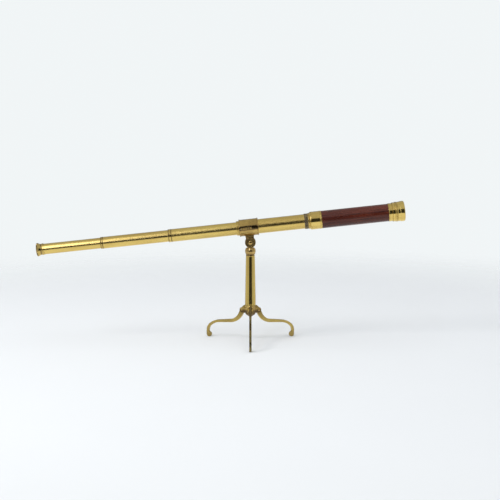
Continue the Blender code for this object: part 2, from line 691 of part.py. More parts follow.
def lens(name, middle, thickness, radius, bulge_rear, bulge_front, axis):
    """A round lens. The middle of each face stands out by its bulge, or in where that is negative."""
    steps = 2
    outline = []
    for step in range(steps + 1):
        part = step / steps
        outline.append((middle - thickness / 2 - bulge_rear * (1 - part**2), radius * part))
    for step in range(steps, -1, -1):
        part = step / steps
        outline.append((middle + thickness / 2 + bulge_front * (1 - part**2), radius * part))
    piece(name, turned(outline), GLASS, axis)


def make_eyepiece(axis):
    """The eyecup with the eye lens, and behind it the cell of the field lens."""
    tube_start = COLLAR_START[1]
    inside = DRAW_RADIUS[1] - WALL - CLOSE_GAP
    eyecup = [
        (EYE_END + 0.5 * MM, 13.4 * MM),
        (EYE_END, 14.0 * MM),
        (EYE_END + 0.4 * MM, 14.7 * MM),
        (EYE_END + 1.4 * MM, 14.9 * MM),
        (EYE_END + 3.0 * MM, 14.7 * MM),
        (EYE_END + 5.6 * MM, 13.5 * MM),
        (EYE_END + 8.4 * MM, 12.6 * MM),
        (EYE_END + 11.0 * MM, 12.3 * MM),
        (EYE_END + 11.4 * MM, 12.9 * MM),
        (EYE_END + 12.2 * MM, 13.2 * MM),
        (EYE_END + 13.4 * MM, 13.2 * MM),
        (EYE_END + 14.2 * MM, 12.9 * MM),
        (EYE_END + 14.6 * MM, 12.4 * MM),
        (tube_start - CLOSE_GAP, 12.4 * MM),
        (tube_start - CLOSE_GAP, inside),
        (tube_start + 8.0 * MM, inside),
        (tube_start + 8.0 * MM, 9.2 * MM),
        (EYE_END + 7.6 * MM, 9.2 * MM),
        (EYE_END + 7.6 * MM, 4.5 * MM),
        (EYE_END + 5.6 * MM, 4.5 * MM),
        (EYE_END + 4.2 * MM, 8.0 * MM),
        (EYE_END + 2.4 * MM, 11.4 * MM),
    ]
    piece("eyecup", turned(eyecup), BRASS, axis)
    lens("eye_lens", EYE_END + 10.6 * MM, 1.6 * MM, 9.0 * MM, 0.5 * MM, 2.2 * MM, axis)
    cell_start = tube_start + 8.3 * MM
    cell_end = cell_start + 38.0 * MM
    cell = [
        (cell_start, inside - 0.8 * MM),
        (cell_start, inside),
        (cell_end, inside),
        (cell_end, inside - 1.8 * MM),
        (cell_end - 1.0 * MM, inside - 1.8 * MM),
        (cell_end - 1.0 * MM, inside - 0.8 * MM),
    ]
    piece("eyepiece_cell", turned(cell), BLACK_BRASS, axis)
    lens("field_lens", cell_end - 3.6 * MM, 1.8 * MM, inside - 1.0 * MM, 2.0 * MM, 0.3 * MM, axis)


def make_erector(axis):
    """The cell of the two erecting lenses. Its flange is the stop of the first draw."""
    tube_end = draw_inner_end(1)
    inside = DRAW_RADIUS[1] - WALL - CLOSE_GAP
    flange = tube_end + CLOSE_GAP
    start = tube_end - 36.0 * MM
    cell = [
        (start, inside - 1.8 * MM),
        (start, inside),
        (flange, inside),
        (flange, stop_radius(1)),
        (flange + STOP_FLANGE, stop_radius(1)),
        (flange + STOP_FLANGE, inside - 1.8 * MM),
        (flange + STOP_FLANGE - 1.0 * MM, inside - 1.8 * MM),
        (flange + STOP_FLANGE - 1.0 * MM, inside - 0.8 * MM),
        (start + 1.0 * MM, inside - 0.8 * MM),
        (start + 1.0 * MM, inside - 1.8 * MM),
    ]
    piece("erector_cell", turned(cell), BLACK_BRASS, axis)
    glass = inside - 1.0 * MM
    lens("erector_lens_rear", start + 3.8 * MM, 1.8 * MM, glass, 0.3 * MM, 1.8 * MM, axis)
    lens("erector_lens_front", flange + STOP_FLANGE - 3.8 * MM, 1.8 * MM, glass, 1.8 * MM, 0.3 * MM, axis)


def make_barrel(axis):
    """The barrel: a brass liner in a mahogany sleeve between two ferrules, with the bush that slides."""
    bore = DRAW_RADIUS[4] + CLOSE_GAP
    nose = LINER_INNER - CLOSE_GAP
    bush = [
        (BUSH_START, bore),
        (BUSH_START, BUSH_RADIUS - 0.4 * MM),
        (BUSH_START + 0.5 * MM, BUSH_RADIUS),
        (BUSH_START + 8.2 * MM, BUSH_RADIUS),
        (BUSH_START + 8.7 * MM, BUSH_RADIUS - 0.5 * MM),
        (BUSH_START + 9.4 * MM, BUSH_RADIUS - 0.1 * MM),
        (BUSH_START + 11.0 * MM, FERRULE_RADIUS - 1.2 * MM),
        (BUSH_START + 13.2 * MM, FERRULE_RADIUS - 0.4 * MM),
        (FERRULE_START - CLOSE_GAP, FERRULE_RADIUS - 0.4 * MM),
        (FERRULE_START - CLOSE_GAP, nose),
        (BUSH_START + BUSH_LENGTH, nose),
        (BUSH_START + BUSH_LENGTH, bore),
    ]
    piece("barrel_bush", turned(bush), BRASS, axis)
    seat = LINER_OUTER + CLOSE_GAP
    rear = [
        (FERRULE_START, seat),
        (FERRULE_START, FERRULE_RADIUS - 0.3 * MM),
        (FERRULE_START + 0.3 * MM, FERRULE_RADIUS),
        (SLEEVE_START - 3.6 * MM, FERRULE_RADIUS),
        (SLEEVE_START - 3.2 * MM, FERRULE_RADIUS + 0.35 * MM),
        (SLEEVE_START - 0.4 * MM, FERRULE_RADIUS + 0.35 * MM),
        (SLEEVE_START, FERRULE_RADIUS),
        (SLEEVE_START, seat),
    ]
    piece("barrel_rear_ferrule", turned(rear), BRASS, axis)
    liner_end = CELL_START + 8.6 * MM
    piece("barrel_liner_tube", ring(FERRULE_START, liner_end, LINER_INNER, LINER_OUTER), BRASS, axis)
    sleeve = ring(SLEEVE_START + CLOSE_GAP, SLEEVE_END - CLOSE_GAP, seat, SLEEVE_RADIUS)
    piece("barrel_sleeve", sleeve, WOOD, axis)
    front = [
        (SLEEVE_END, seat),
        (SLEEVE_END, FRONT_FERRULE_RADIUS - 0.5 * MM),
        (SLEEVE_END + 0.6 * MM, FRONT_FERRULE_RADIUS),
        (CELL_START - 1.4 * MM, FRONT_FERRULE_RADIUS),
        (CELL_START - 0.9 * MM, FRONT_FERRULE_RADIUS - 0.8 * MM),
        (CELL_START - CLOSE_GAP, FRONT_FERRULE_RADIUS - 0.8 * MM),
        (CELL_START - CLOSE_GAP, seat),
    ]
    piece("barrel_front_ferrule", turned(front), BRASS, axis)


def make_objective(axis):
    """The objective's cell with its beads, the two lenses and the ring that holds them."""
    shoulder = CELL_START + 8.8 * MM
    seat = shoulder + 1.5 * MM
    bore = OBJECTIVE_RADIUS + GAP
    cell = [
        (CELL_START, LINER_OUTER + CLOSE_GAP),
        (CELL_START, 20.9 * MM),
        (CELL_START + 0.5 * MM, 21.5 * MM),
        (CELL_START + 4.4 * MM, 21.5 * MM),
        (CELL_START + 5.0 * MM, 21.0 * MM),
        (CELL_START + 5.8 * MM, 21.0 * MM),
        (CELL_START + 6.4 * MM, 22.2 * MM),
        (CELL_START + 10.4 * MM, 22.2 * MM),
        (CELL_START + 11.2 * MM, 21.6 * MM),
        (CELL_START + 12.4 * MM, 21.9 * MM),
        (CELL_START + 16.0 * MM, 21.9 * MM),
        (CELL_START + 17.4 * MM, 22.6 * MM),
        (OBJECTIVE_END - 2.4 * MM, 22.6 * MM),
        (OBJECTIVE_END - 0.6 * MM, 22.0 * MM),
        (OBJECTIVE_END, 21.2 * MM),
        (OBJECTIVE_END, 20.6 * MM),
        (OBJECTIVE_END - 1.6 * MM, bore),
        (seat, bore),
        (seat, LINER_INNER + 0.2 * MM),
        (shoulder, LINER_INNER + 0.2 * MM),
        (shoulder, LINER_OUTER + CLOSE_GAP),
    ]
    piece("objective_cell", turned(cell), BRASS, axis)
    flint = seat + 2.1 * MM
    lens("objective_flint", flint, 3.6 * MM, OBJECTIVE_RADIUS, 0.0, -1.2 * MM, axis)
    lens("objective_crown", flint + 4.0 * MM, 3.8 * MM, OBJECTIVE_RADIUS, 1.0 * MM, 1.4 * MM, axis)
    ring_start = flint + 4.0 * MM + 2.2 * MM
    keeper = [
        (ring_start, OBJECTIVE_RADIUS - 1.4 * MM),
        (ring_start, OBJECTIVE_RADIUS),
        (ring_start + 2.6 * MM, OBJECTIVE_RADIUS),
        (ring_start + 2.6 * MM, OBJECTIVE_RADIUS - 0.7 * MM),
    ]
    piece("objective_retaining_ring", turned(keeper), BLACK_BRASS, axis)


def make_telescope(tilt):
    """The four draws and the barrel, each in the frame of its own slide."""
    barrel = frame("barrel_slide", tilt, (0, 0, AXIS_ABOVE_PIVOT))
    fourth = frame("draw_4_axis", tilt, (0, 0, AXIS_ABOVE_PIVOT))
    third = frame("draw_3_slide", fourth)
    second = frame("draw_2_slide", third)
    first = frame("draw_1_slide", second)
    make_eyepiece(first)
    make_draw(1, first, COLLAR_START[1], draw_inner_end(1))
    make_erector(first)
    for number, axis in ((2, second), (3, third), (4, fourth)):
        make_collar(number, axis)
        tube_start = COLLAR_START[number] + COLLAR_LENGTH[number] + CLOSE_GAP
        make_draw(number, axis, tube_start, draw_inner_end(number))
        make_stop_ring(number, axis)
    make_barrel(barrel)
    make_objective(barrel)


def rest_on_origin(root):
    """Moves the assembly so that the origin is the middle of its footprint, on the table."""
    bpy.context.view_layer.update()
    graph = bpy.context.evaluated_depsgraph_get()
    corners = []
    for item in bpy.data.objects:
        if item.type == "MESH" and not item.hide_render:
            evaluated = item.evaluated_get(graph)
            world = evaluated.matrix_world
            corners += [world @ vertex.co for vertex in evaluated.data.vertices]
    low = [min(corner[axis] for corner in corners) for axis in range(3)]
    high = [max(corner[axis] for corner in corners) for axis in range(3)]
    root.location = (-(low[0] + high[0]) / 2, -(low[1] + high[1]) / 2, -low[2])
    bpy.context.view_layer.update()


def main():
    for item in list(bpy.data.objects):
        bpy.data.objects.remove(item)
    root = frame("telescope_frame", None)
    make_hub(root)
    make_pillar(root)
    make_head_screw(root)
    for side in LEG_ANGLES:
        make_leg(side, root)
    head = frame("head_turn", root)
    make_head(head)
    tilt = frame("tilt_pivot", head, (0, 0, PIVOT_HEIGHT), (0, -math.radians(TILT), 0))
    make_tongue(tilt)
    clamp_axis = frame("clamp_axis", tilt, (0, 0, AXIS_ABOVE_PIVOT))
    hinge = frame("clamp_cap_hinge", clamp_axis, (0, -HINGE_OFFSET, 0))
    cap = frame("clamp_cap", hinge, (0, HINGE_OFFSET, 0))
    make_clamp(clamp_axis, cap)
    make_thumb_screw(frame("thumb_screw_turn", cap, (0, SCREW_OFFSET, 0)))
    make_telescope(tilt)
    rest_on_origin(root)


main()
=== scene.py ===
"""The looks of the brass and mahogany table telescope, built round its CAD frame.

Lengths here are in millimetres until a mesh is made, unless a name says metres. The telescope's pieces are
modelled in a frame on its optical axis above the tilt pivot, with X towards the objective, and those of the
stand in a frame at the foot of the pillar.
"""

import functools
import json
import math

import bmesh
import bpy
from mathutils import Matrix, Vector


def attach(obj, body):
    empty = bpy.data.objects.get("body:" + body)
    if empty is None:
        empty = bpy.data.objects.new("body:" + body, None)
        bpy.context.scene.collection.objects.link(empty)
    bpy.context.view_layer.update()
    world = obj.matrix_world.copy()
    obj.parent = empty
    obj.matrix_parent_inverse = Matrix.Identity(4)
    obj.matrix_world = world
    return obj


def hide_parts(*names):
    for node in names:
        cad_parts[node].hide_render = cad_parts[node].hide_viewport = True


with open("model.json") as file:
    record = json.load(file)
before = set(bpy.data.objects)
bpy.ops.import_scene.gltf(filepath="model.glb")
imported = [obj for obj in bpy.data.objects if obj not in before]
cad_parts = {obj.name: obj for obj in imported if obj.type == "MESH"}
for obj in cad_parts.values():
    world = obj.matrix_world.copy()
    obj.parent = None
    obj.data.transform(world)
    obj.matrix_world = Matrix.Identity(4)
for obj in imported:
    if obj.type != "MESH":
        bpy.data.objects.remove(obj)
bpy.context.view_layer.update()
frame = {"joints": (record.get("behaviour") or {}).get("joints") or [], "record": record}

MM = 0.001

# Segments round a turned piece, and a turn in degrees that keeps a hole's corners off those of its piece.
ROUND = 96
FINE = 144
SMALL_ROUND = 40
SCREW_ROUND = 72
HOLE_PHASE = 1.3

# Fits and walls, as in the CAD.
CLOSE_GAP = 0.2
GAP = 0.3
WALL = 0.4

# The telescope: radii, and places along its axis.
DRAW_RADIUS = {1: 12.0, 2: 13.1, 3: 14.3, 4: 16.15}
SEAT_IN_DRAW = {number: radius - WALL - CLOSE_GAP for number, radius in DRAW_RADIUS.items()}
EYE_END = -477.8
COLLAR_START = {1: -460.2, 2: -333.4, 3: -180.9, 4: -27.2}
COLLAR_LENGTH = {2: 5.6, 3: 7.8, 4: 5.2}
COLLAR_GUIDE = {2: 18.0, 3: 18.0, 4: 22.0}
BUSH_START = 125.0
BUSH_LENGTH = 34.0
BUSH_RADIUS = 17.3
FERRULE_START = 140.0
SLEEVE_START = 163.6
SLEEVE_END = 313.1
CELL_START = 322.4
OBJECTIVE_END = 349.3
LINER_INNER = 17.1
LINER_OUTER = 17.6
SLEEVE_RADIUS = 19.6
FERRULE_RADIUS = 20.0
FRONT_FERRULE_RADIUS = 20.4
OBJECTIVE_RADIUS = 19.1

# The clamp and the compass joint.
AXIS_ABOVE_PIVOT = 34.0
CLAMP_HALF_LENGTH = 21.4
CLAMP_INNER = 17.3
CLAMP_OUTER = 18.7
CLAMP_RIM = 19.6
CLAMP_SPLIT = 2.0
LINING_INNER = 16.45
LINING_OUTER = 17.1
HINGE_RADIUS = 2.4
HINGE_PIN_RADIUS = 1.0
HINGE_START = -18.4
KNUCKLE_PITCH = 5.1
KNUCKLES = 5
HINGE_OFFSET = CLAMP_OUTER + HINGE_RADIUS + CLOSE_GAP
LUG_THICKNESS = 3.0
LUG_END = 29.5
LUG_HALF_WIDTH = 6.0
SCREW_OFFSET = 24.4
THUMB_SCREW_RADIUS = 1.75
SADDLE_SCREWS = {"rear": -5.5, "front": 5.5}
SINK_TOP = -CLAMP_INNER - 0.25
SINK_LOW = -CLAMP_OUTER + 0.4
DISC_RADIUS = 12.0
TONGUE_HALF = 3.4
WASHER_THICKNESS = 0.6
CHEEK_THICKNESS = 4.4
PIVOT_RADIUS = 2.5
NECK_HALF_WIDTH = 9.4
SLOT_HALF = TONGUE_HALF + WASHER_THICKNESS + 2 * CLOSE_GAP
CHEEK_SIDE = SLOT_HALF + CHEEK_THICKNESS

# The stand: heights above the table, and radii about the pillar.
PIVOT_HEIGHT = 226.0
PIVOT_POINT = (0, 0, PIVOT_HEIGHT)
PILLAR_TOP = 197.0
PILLAR_TOP_RADIUS = 10.1
PILLAR_BASE_RADIUS = 12.2
BULB_RADIUS = 11.9
HUB_BOTTOM = 59.0
HUB_TOP = 83.1
HUB_CORE_RADIUS = 11.6
HUB_FLANGE_RADIUS = 13.2
HUB_FLANGE_HEIGHT = 3.3
HUB_FLOOR = 5.0
HUB_SLOT_FLOOR = 7.8
SPIGOT_RADIUS = 6.0
TAPPED_RADIUS = 3.0
LEG_ANGLES = {"front": -90.0, "right": 30.0, "left": 150.0}
LEG_WIDTH = 5.2
LEG_PIN = Vector((19.5, 71.0))
LEG_PIN_RADIUS = 1.6
EAR_THICKNESS = 2.3
EAR_SIDE = LEG_WIDTH / 2 + GAP + EAR_THICKNESS
EAR_RADIUS = 6.2
FOOT_CIRCLE = 109.8
TOE_RADIUS = 6.0
TOE_FLAT = 2.0
TOE_HEIGHT = math.sqrt(TOE_RADIUS**2 - TOE_FLAT**2)

# A leg from its pin to its toe: headings in degrees, lengths, thicknesses and the radii of its bends.
LEG_TOP_HEADING = -62.0
LEG_RUN_HEADING = -6.7
LEG_DROP_HEADING = -42.0
LEG_TOP_LENGTH = 12.0
LEG_TOP_THICKNESS = 12.0
LEG_BEND_THICKNESS = 10.0
LEG_RUN_THICKNESS = 7.4
LEG_END_THICKNESS = 6.0
LEG_TOP_BEND = 34.0
LEG_OUTER_BEND = 44.0
LEG_TOE_BEND = 18.0

# The frames that the pieces are modelled in, from the joints of the record.
joints = {joint["name"]: joint for joint in frame["joints"]}
pivot = Vector(joints["tilt"]["pos_m"])
along = -Vector(joints["barrel_slide"]["axis"])
across = Vector((0.0, 1.0, 0.0))
upward = along.cross(across)


def axes_at(origin, x, y, z):
    matrix = Matrix((x, y, z)).transposed().to_4x4()
    matrix.translation = origin
    return matrix


TILT_FRAME = axes_at(pivot, along, across, upward)
TELESCOPE_FRAME = axes_at(pivot + AXIS_ABOVE_PIVOT * MM * upward, along, across, upward)
STAND_FRAME = Matrix.Translation((pivot.x, pivot.y, 0.0))

body_of_node = {}
for body_name, members in frame["record"]["behaviour"]["bodies"].items():
    for member in members:
        body_of_node[member] = body_name


# Outlines. A point is (along, radius) or (along, radius, corner radius).


def rounded(outline, closed, steps=5):
    """The outline with an arc at each corner that asks for one, and points beside it to keep flats flat."""
    points = [Vector(point[:2]) for point in outline]
    radii = [point[2] if len(point) > 2 else 0.0 for point in outline]
    count = len(points)
    result = []
    for index, point in enumerate(points):
        corner = radii[index]
        if corner == 0.0 or (not closed and index in (0, count - 1)):
            result.append(tuple(point))
            continue
        before = points[index - 1] - point
        after = points[(index + 1) % count] - point
        half = before.angle(after) / 2
        reach = corner / math.tan(half)
        reach = min(reach, 0.45 * before.length, 0.45 * after.length)
        start = point + reach * before.normalized()
        end = point + reach * after.normalized()
        support = 0.35 * corner
        if before.length > 2 * (reach + support):
            result.append(tuple(start + support * before.normalized()))
        for step in range(steps + 1):
            part = step / steps
            result.append(tuple((1 - part) ** 2 * start + 2 * part * (1 - part) * point + part**2 * end))
        if after.length > 2 * (reach + support):
            result.append(tuple(end + support * after.normalized()))
    return result


def bead(start, end, base, top, steps=10):
    """Points of a half-round bead standing on a surface of radius base."""
    middle = (start + end) / 2
    half = (end - start) / 2
    turns = [math.pi * step / steps for step in range(steps + 1)]
    return [(middle - half * math.cos(turn), base + (top - base) * math.sin(turn)) for turn in turns]


def dome(base, rise, radius, steps=12):
    """Points of a screw head's dome, from its top to its rim at the base."""
    turns = [math.pi / 2 * step / steps for step in range(steps + 1)]
    return [(base - rise * math.cos(turn), radius * math.sin(turn)) for turn in turns]


def curve(start, end, from_radius, to_radius, share, steps=8):
    """Points of a curve between two radii, with the share of the way that it has come at each part of it."""
    parts = [step / steps for step in range(steps + 1)]
    return [
        (start + (end - start) * part, from_radius + (to_radius - from_radius) * share(part))
        for part in parts
    ]


def fast_then_flat(power):
    return lambda part: 1 - (1 - part) ** power


def s_shaped(part):
    return part * part * (3 - 2 * part)


# Meshes.


def on_axis(axis, place, radius):
    return {"X": (place, radius, 0.0), "Y": (0.0, place, radius), "Z": (radius, 0.0, place)}[axis]


def turned(outline, axis="X", centre=(0, 0, 0), segments=ROUND, phase=0.0, sweep=360.0, closed=True):
    """A solid of revolution. With closed=False the outline starts and ends on the axis."""
    profile = rounded(outline, closed)
    bm = bmesh.new()
    verts = [bm.verts.new(on_axis(axis, place, radius)) for place, radius in profile]
    around = Vector(on_axis(axis, 1.0, 0.0))
    turn = Matrix.Rotation(math.radians(phase), 3, around)
    bmesh.ops.rotate(bm, verts=verts, cent=(0, 0, 0), matrix=turn)
    pairs = list(zip(verts, verts[1:] + verts[:1])) if closed else list(zip(verts, verts[1:]))
    edges = [bm.edges.new(pair) for pair in pairs]
    full = sweep == 360.0
    bmesh.ops.spin(
        bm, geom=verts + edges, cent=(0, 0, 0), axis=around,
        angle=math.radians(sweep), steps=segments, use_merge=full,
    )
    bmesh.ops.remove_doubles(bm, verts=bm.verts, dist=0.0005)
    if not full:
        bmesh.ops.holes_fill(bm, edges=[edge for edge in bm.edges if edge.is_boundary])
    bmesh.ops.translate(bm, verts=bm.verts, vec=centre)
    bmesh.ops.recalc_face_normals(bm, faces=bm.faces)
    return bm


def ring(start, end, inner, outer, corner=0.12, **options):
    outline = [(start, inner, corner), (start, outer, corner), (end, outer, corner), (end, inner, corner)]
    return turned(outline, **options)


def rod(start, end, radius, corner=0.0, **options):
    outline = [(start, 0), (start, radius, corner), (end, radius, corner), (end, 0)]
    return turned(outline, closed=False, **options)


def drill(start, end, radius, axis, centre=(0, 0, 0)):
    """The shape of a round hole."""
    return rod(start, end, radius, axis=axis, centre=centre, segments=SMALL_ROUND, phase=HOLE_PHASE)


def slotted(bm, low, high):
    """The shape with the slot between two corners cut from it."""
    return carved(bm, ("DIFFERENCE", block(low, high)))


def screw_of(outline, low, high, segments=SCREW_ROUND, **options):
    """A turned screw or pin with the slot between two corners in its head."""
    return slotted(turned(outline, segments=segments, closed=False, **options), low, high)


def eased(bm, width, angle=40.0, segments=3):
    """Rounds the edges that are sharper than the angle."""
    sharp = [edge for edge in bm.edges if edge.calc_face_angle(0.0) > math.radians(angle)]
    bmesh.ops.bevel(
        bm, geom=sharp, offset=width, offset_type="OFFSET", segments=segments, profile=0.5,
        affect="EDGES", clamp_overlap=True,
    )
    return bm


def block(low, high, width=0.0):
    bm = bmesh.new()
    bmesh.ops.create_cube(bm, size=1.0)
    bmesh.ops.scale(bm, verts=bm.verts, vec=Vector(high) - Vector(low))
    bmesh.ops.translate(bm, verts=bm.verts, vec=(Vector(high) + Vector(low)) / 2)
    return eased(bm, width) if width else bm


def plate(outline, half_width, width=0.0, axis="Y"):
    """An outline extruded both ways: of (x, z) points along Y, or of (x, y) points along Z."""
    bm = bmesh.new()
    if axis == "Y":
        corners = [(x, -half_width, z) for x, z in outline]
        step = (0, 2 * half_width, 0)
    else:
        corners = [(x, y, -half_width) for x, y in outline]
        step = (0, 0, 2 * half_width)
    face = bm.faces.new([bm.verts.new(corner) for corner in corners])
    grown = bmesh.ops.extrude_face_region(bm, geom=[face])
    moved = [item for item in grown["geom"] if isinstance(item, bmesh.types.BMVert)]
    bmesh.ops.translate(bm, verts=moved, vec=step)
    bmesh.ops.recalc_face_normals(bm, faces=bm.faces)
    return eased(bm, width) if width else bm


def arc(centre, radius, start, end, steps):
    angles = [math.radians(start + (end - start) * step / steps) for step in range(steps + 1)]
    return [(centre[0] + radius * math.cos(a), centre[1] + radius * math.sin(a)) for a in angles]


def milled(bm, start, end, radius, teeth, depth, axis="X", centre=(0, 0)):
    """Cuts straight grooves into the band of that radius."""
    a, b, c = {"X": (0, 1, 2), "Y": (1, 2, 0), "Z": (2, 0, 1)}[axis]
    for vert in bm.verts:
        u = vert.co[b] - centre[0]
        v = vert.co[c] - centre[1]
        reach = math.hypot(u, v)
        if start < vert.co[a] < end and reach > radius - 0.4:
            angle = math.atan2(v, u)
            fall = min(1.0, (vert.co[a] - start) / 0.5, (end - vert.co[a]) / 0.5)
            cut = depth * fall * (0.5 - 0.5 * math.cos(teeth * angle)) / reach
            vert.co[b] -= u * cut
            vert.co[c] -= v * cut
    return bm


def knurled(bm, start, end, radius, count, depth):
    """Crossed diagonal grooves in the band of that radius, round the X axis."""
    pitch = 2 * math.pi * radius / count
    for vert in bm.verts:
        reach = math.hypot(vert.co.y, vert.co.z)
        if start < vert.co.x < end and reach > radius - 0.3:
            angle = math.atan2(vert.co.z, vert.co.y)
            shift = 2 * math.pi * (vert.co.x - start) / (2 * pitch)
            one = abs(math.sin((count * angle) / 2 + shift))
            two = abs(math.sin((count * angle) / 2 - shift))
            fall = min(1.0, (vert.co.x - start) / 0.4, (end - vert.co.x) / 0.4)
            cut = depth * fall * (1.0 - min(one, two)) / reach
            vert.co.y -= vert.co.y * cut
            vert.co.z -= vert.co.z * cut
    return bm


def rows(start, end, radius, pitch):
    """Even points along a straight stretch, for a band that is knurled or milled."""
    count = max(2, round((end - start) / pitch))
    return [(start + (end - start) * index / count, radius) for index in range(count + 1)]


def carved(bm, *steps):
    """The shape with other shapes added to it or cut from it, as (operation, shape) pairs."""
    holder = bpy.data.objects.new("carved", bpy.data.meshes.new("carved"))
    bm.to_mesh(holder.data)
    bm.free()
    bpy.context.scene.collection.objects.link(holder)
    helpers = []
    for operation, shape in steps:
        helper = bpy.data.objects.new("helper", bpy.data.meshes.new("helper"))
        shape.to_mesh(helper.data)
        shape.free()
        bpy.context.scene.collection.objects.link(helper)
        helpers.append(helper)
        change = holder.modifiers.new(operation, "BOOLEAN")
        change.operation = operation
        change.object = helper
        change.solver = "EXACT"
    graph = bpy.context.evaluated_depsgraph_get()
    result = bmesh.new()
    result.from_mesh(holder.evaluated_get(graph).to_mesh())
    for item in [holder] + helpers:
        mesh = item.data
        bpy.data.objects.remove(item)
        bpy.data.meshes.remove(mesh)
    bmesh.ops.remove_doubles(result, verts=result.verts, dist=0.002)
    bmesh.ops.dissolve_degenerate(result, edges=result.edges, dist=0.002)
    return result


def piece(node, bm, finish, place=TELESCOPE_FRAME, inside=None, weighted=False):
    """The finished mesh that stands for a CAD node, on that node's body. Inside is another finish, and
    what chooses its faces."""
    bmesh.ops.scale(bm, verts=bm.verts, vec=(MM, MM, MM))
    mesh = bpy.data.meshes.new(f"{node}_fine")
    bm.to_mesh(mesh)
    bm.free()
    mesh.shade_smooth()
    mesh.set_sharp_from_angle(angle=math.radians(38))
    mesh.materials.append(finish)
    made = bpy.data.objects.new(f"{node}_fine", mesh)
    bpy.context.scene.collection.objects.link(made)
    made.matrix_world = place
    if inside:
        finish_inside, chooses = inside
        mesh.materials.append(finish_inside)
        for face in mesh.polygons:
            face.material_index = 1 if chooses(face.center / MM, face.normal) else 0
    if weighted:
        even = made.modifiers.new("even normals", "WEIGHTED_NORMAL")
        even.keep_sharp = True
    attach(made, body_of_node[node])
    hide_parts(node)
    return made


def faces_axis(centre, normal):
    """True on the bore of a piece turned round the X axis."""
    return centre.y * normal.y + centre.z * normal.z < -0.3 * math.hypot(centre.y, centre.z)


# Materials.

# How a pattern is stretched along the piece's own axes.
ALONG_X = (0.03, 1.0, 1.0)
ALONG_Z = (1.0, 1.0, 0.03)
EVEN = (1.0, 1.0, 1.0)


def feed(node, inputs):
    """Links the sockets among the inputs, and sets plain values on the node's own sockets."""
    for key, value in inputs.items():
        socket = node.inputs[key]
        if isinstance(value, bpy.types.NodeSocket):
            node.id_data.links.new(value, socket)
        else:
            socket.default_value = (*value, 1.0) if socket.type == "RGBA" else value


def add_node(tree, kind, inputs=None, **settings):
    made = tree.nodes.new(f"ShaderNode{kind}")
    for key, value in settings.items():
        setattr(made, key, value)
    feed(made, inputs or {})
    return made


def tree_of(values):
    """The node tree of the first socket among the values."""
    return next(value for value in values if isinstance(value, bpy.types.NodeSocket)).id_data


def maths(operation, *values, clamp=False):
    inputs = dict(enumerate(values))
    return add_node(tree_of(values), "Math", inputs, operation=operation, use_clamp=clamp).outputs[0]


times, plus, minus, over, most, least, size_of = (
    functools.partial(maths, operation)
    for operation in ("MULTIPLY", "ADD", "SUBTRACT", "DIVIDE", "MAXIMUM", "MINIMUM", "ABSOLUTE")
)


def mix(factor, first, second):
    """Two colours mixed, by the factor and colour sockets of a mix node."""
    inputs = {0: factor, 6: first, 7: second}
    return add_node(tree_of(inputs.values()), "Mix", inputs, data_type="RGBA").outputs[2]


def ramp(value, low, high, out_low=0.0, out_high=1.0):
    """A smooth step from one value at low to the other at high."""
    inputs = {"Value": value, "From Min": low, "From Max": high, "To Min": out_low, "To Max": out_high}
    return add_node(value.id_data, "MapRange", inputs, interpolation_type="SMOOTHSTEP").outputs["Result"]


def noise(vector, scale, detail=2.0, roughness=0.5, distortion=0.0):
    inputs = {"Vector": vector, "Scale": scale, "Detail": detail, "Roughness": roughness,
              "Distortion": distortion}
    return add_node(vector.id_data, "TexNoise", inputs).outputs["Fac"]


def stretched(tree, scale):
    """The piece's own coordinates in metres, stretched by that scale along each axis."""
    coordinates = add_node(tree, "TexCoord").outputs["Object"]
    return add_node(tree, "Mapping", {"Vector": coordinates, "Scale": scale}).outputs["Vector"]


def axis_of(tree, letter):
    """One of the piece's own coordinates, in metres."""
    coordinates = add_node(tree, "TexCoord").outputs["Object"]
    return add_node(tree, "SeparateXYZ", {0: coordinates}).outputs[letter]


def enclosed(tree, distance, inside):
    """How open the surface is within that many metres, outside it or inside it."""
    inputs = {"Distance": distance}
    return add_node(tree, "AmbientOcclusion", inputs, samples=8, only_local=True, inside=inside).outputs["AO"]


def crevices(tree, distance):
    """1 in hollows and corners narrower than that many metres, and 0 in the open."""
    return ramp(enclosed(tree, distance, False), 0.95, 0.35)


def edges(tree, distance):
    """1 on outer corners, and 0 on flats."""
    return ramp(enclosed(tree, distance, True), 0.92, 0.45)


def new_material(name):
    made = bpy.data.materials.new(name)
    made.use_nodes = True
    tree = made.node_tree
    return made, tree, tree.nodes["Principled BSDF"]


def cover(shader, inputs, height, strength, distance):
    """Feeds the shader, and lifts its surface by the height."""
    bump = add_node(shader.id_data, "Bump", {"Height": height, "Strength": strength, "Distance": distance})
    feed(shader, {**inputs, "Normal": bump.outputs["Normal"]})


# Where dirt and painted shade lie, from 0 to 1.


def hinge_grime_and_shade(tree):
    """Dirt between the clamp's knuckles, and painted shade in a band along its hinge and on the clamp's
    underside.
    """
    x, y, z = (axis_of(tree, letter) for letter in "XYZ")
    band = ramp(size_of(z), 5.6 * MM, 3.2 * MM)
    shell = times(ramp(y, -21.6 * MM, -20.4 * MM), ramp(y, -10.0 * MM, -17.0 * MM))
    knuckle = over(minus(x, (HINGE_START - GAP / 2) * MM), KNUCKLE_PITCH * MM)
    from_gap = maths("PINGPONG", knuckle, 0.5)
    gaps = times(ramp(from_gap, 0.20, 0.10), ramp(y, -19.0 * MM, -19.6 * MM))
    hinge = most(times(band, shell), gaps)
    # The clamp's underside is darkened as painted shade.
    return most(hinge, ramp(z, -15.5 * MM, -18.6 * MM, 0.0, 0.9))


def collar_grime(tree):
    """Polish and dirt left along both ends of the second and third draws' collars."""
    x = axis_of(tree, "X")
    from_ends = []
    for number in (2, 3):
        half = COLLAR_LENGTH[number] / 2
        from_middle = size_of(minus(x, (COLLAR_START[number] + half) * MM))
        from_ends.append(size_of(minus(from_middle, half * MM)))
    return ramp(least(*from_ends), 1.9 * MM, 1.1 * MM, 0.0, 0.8)


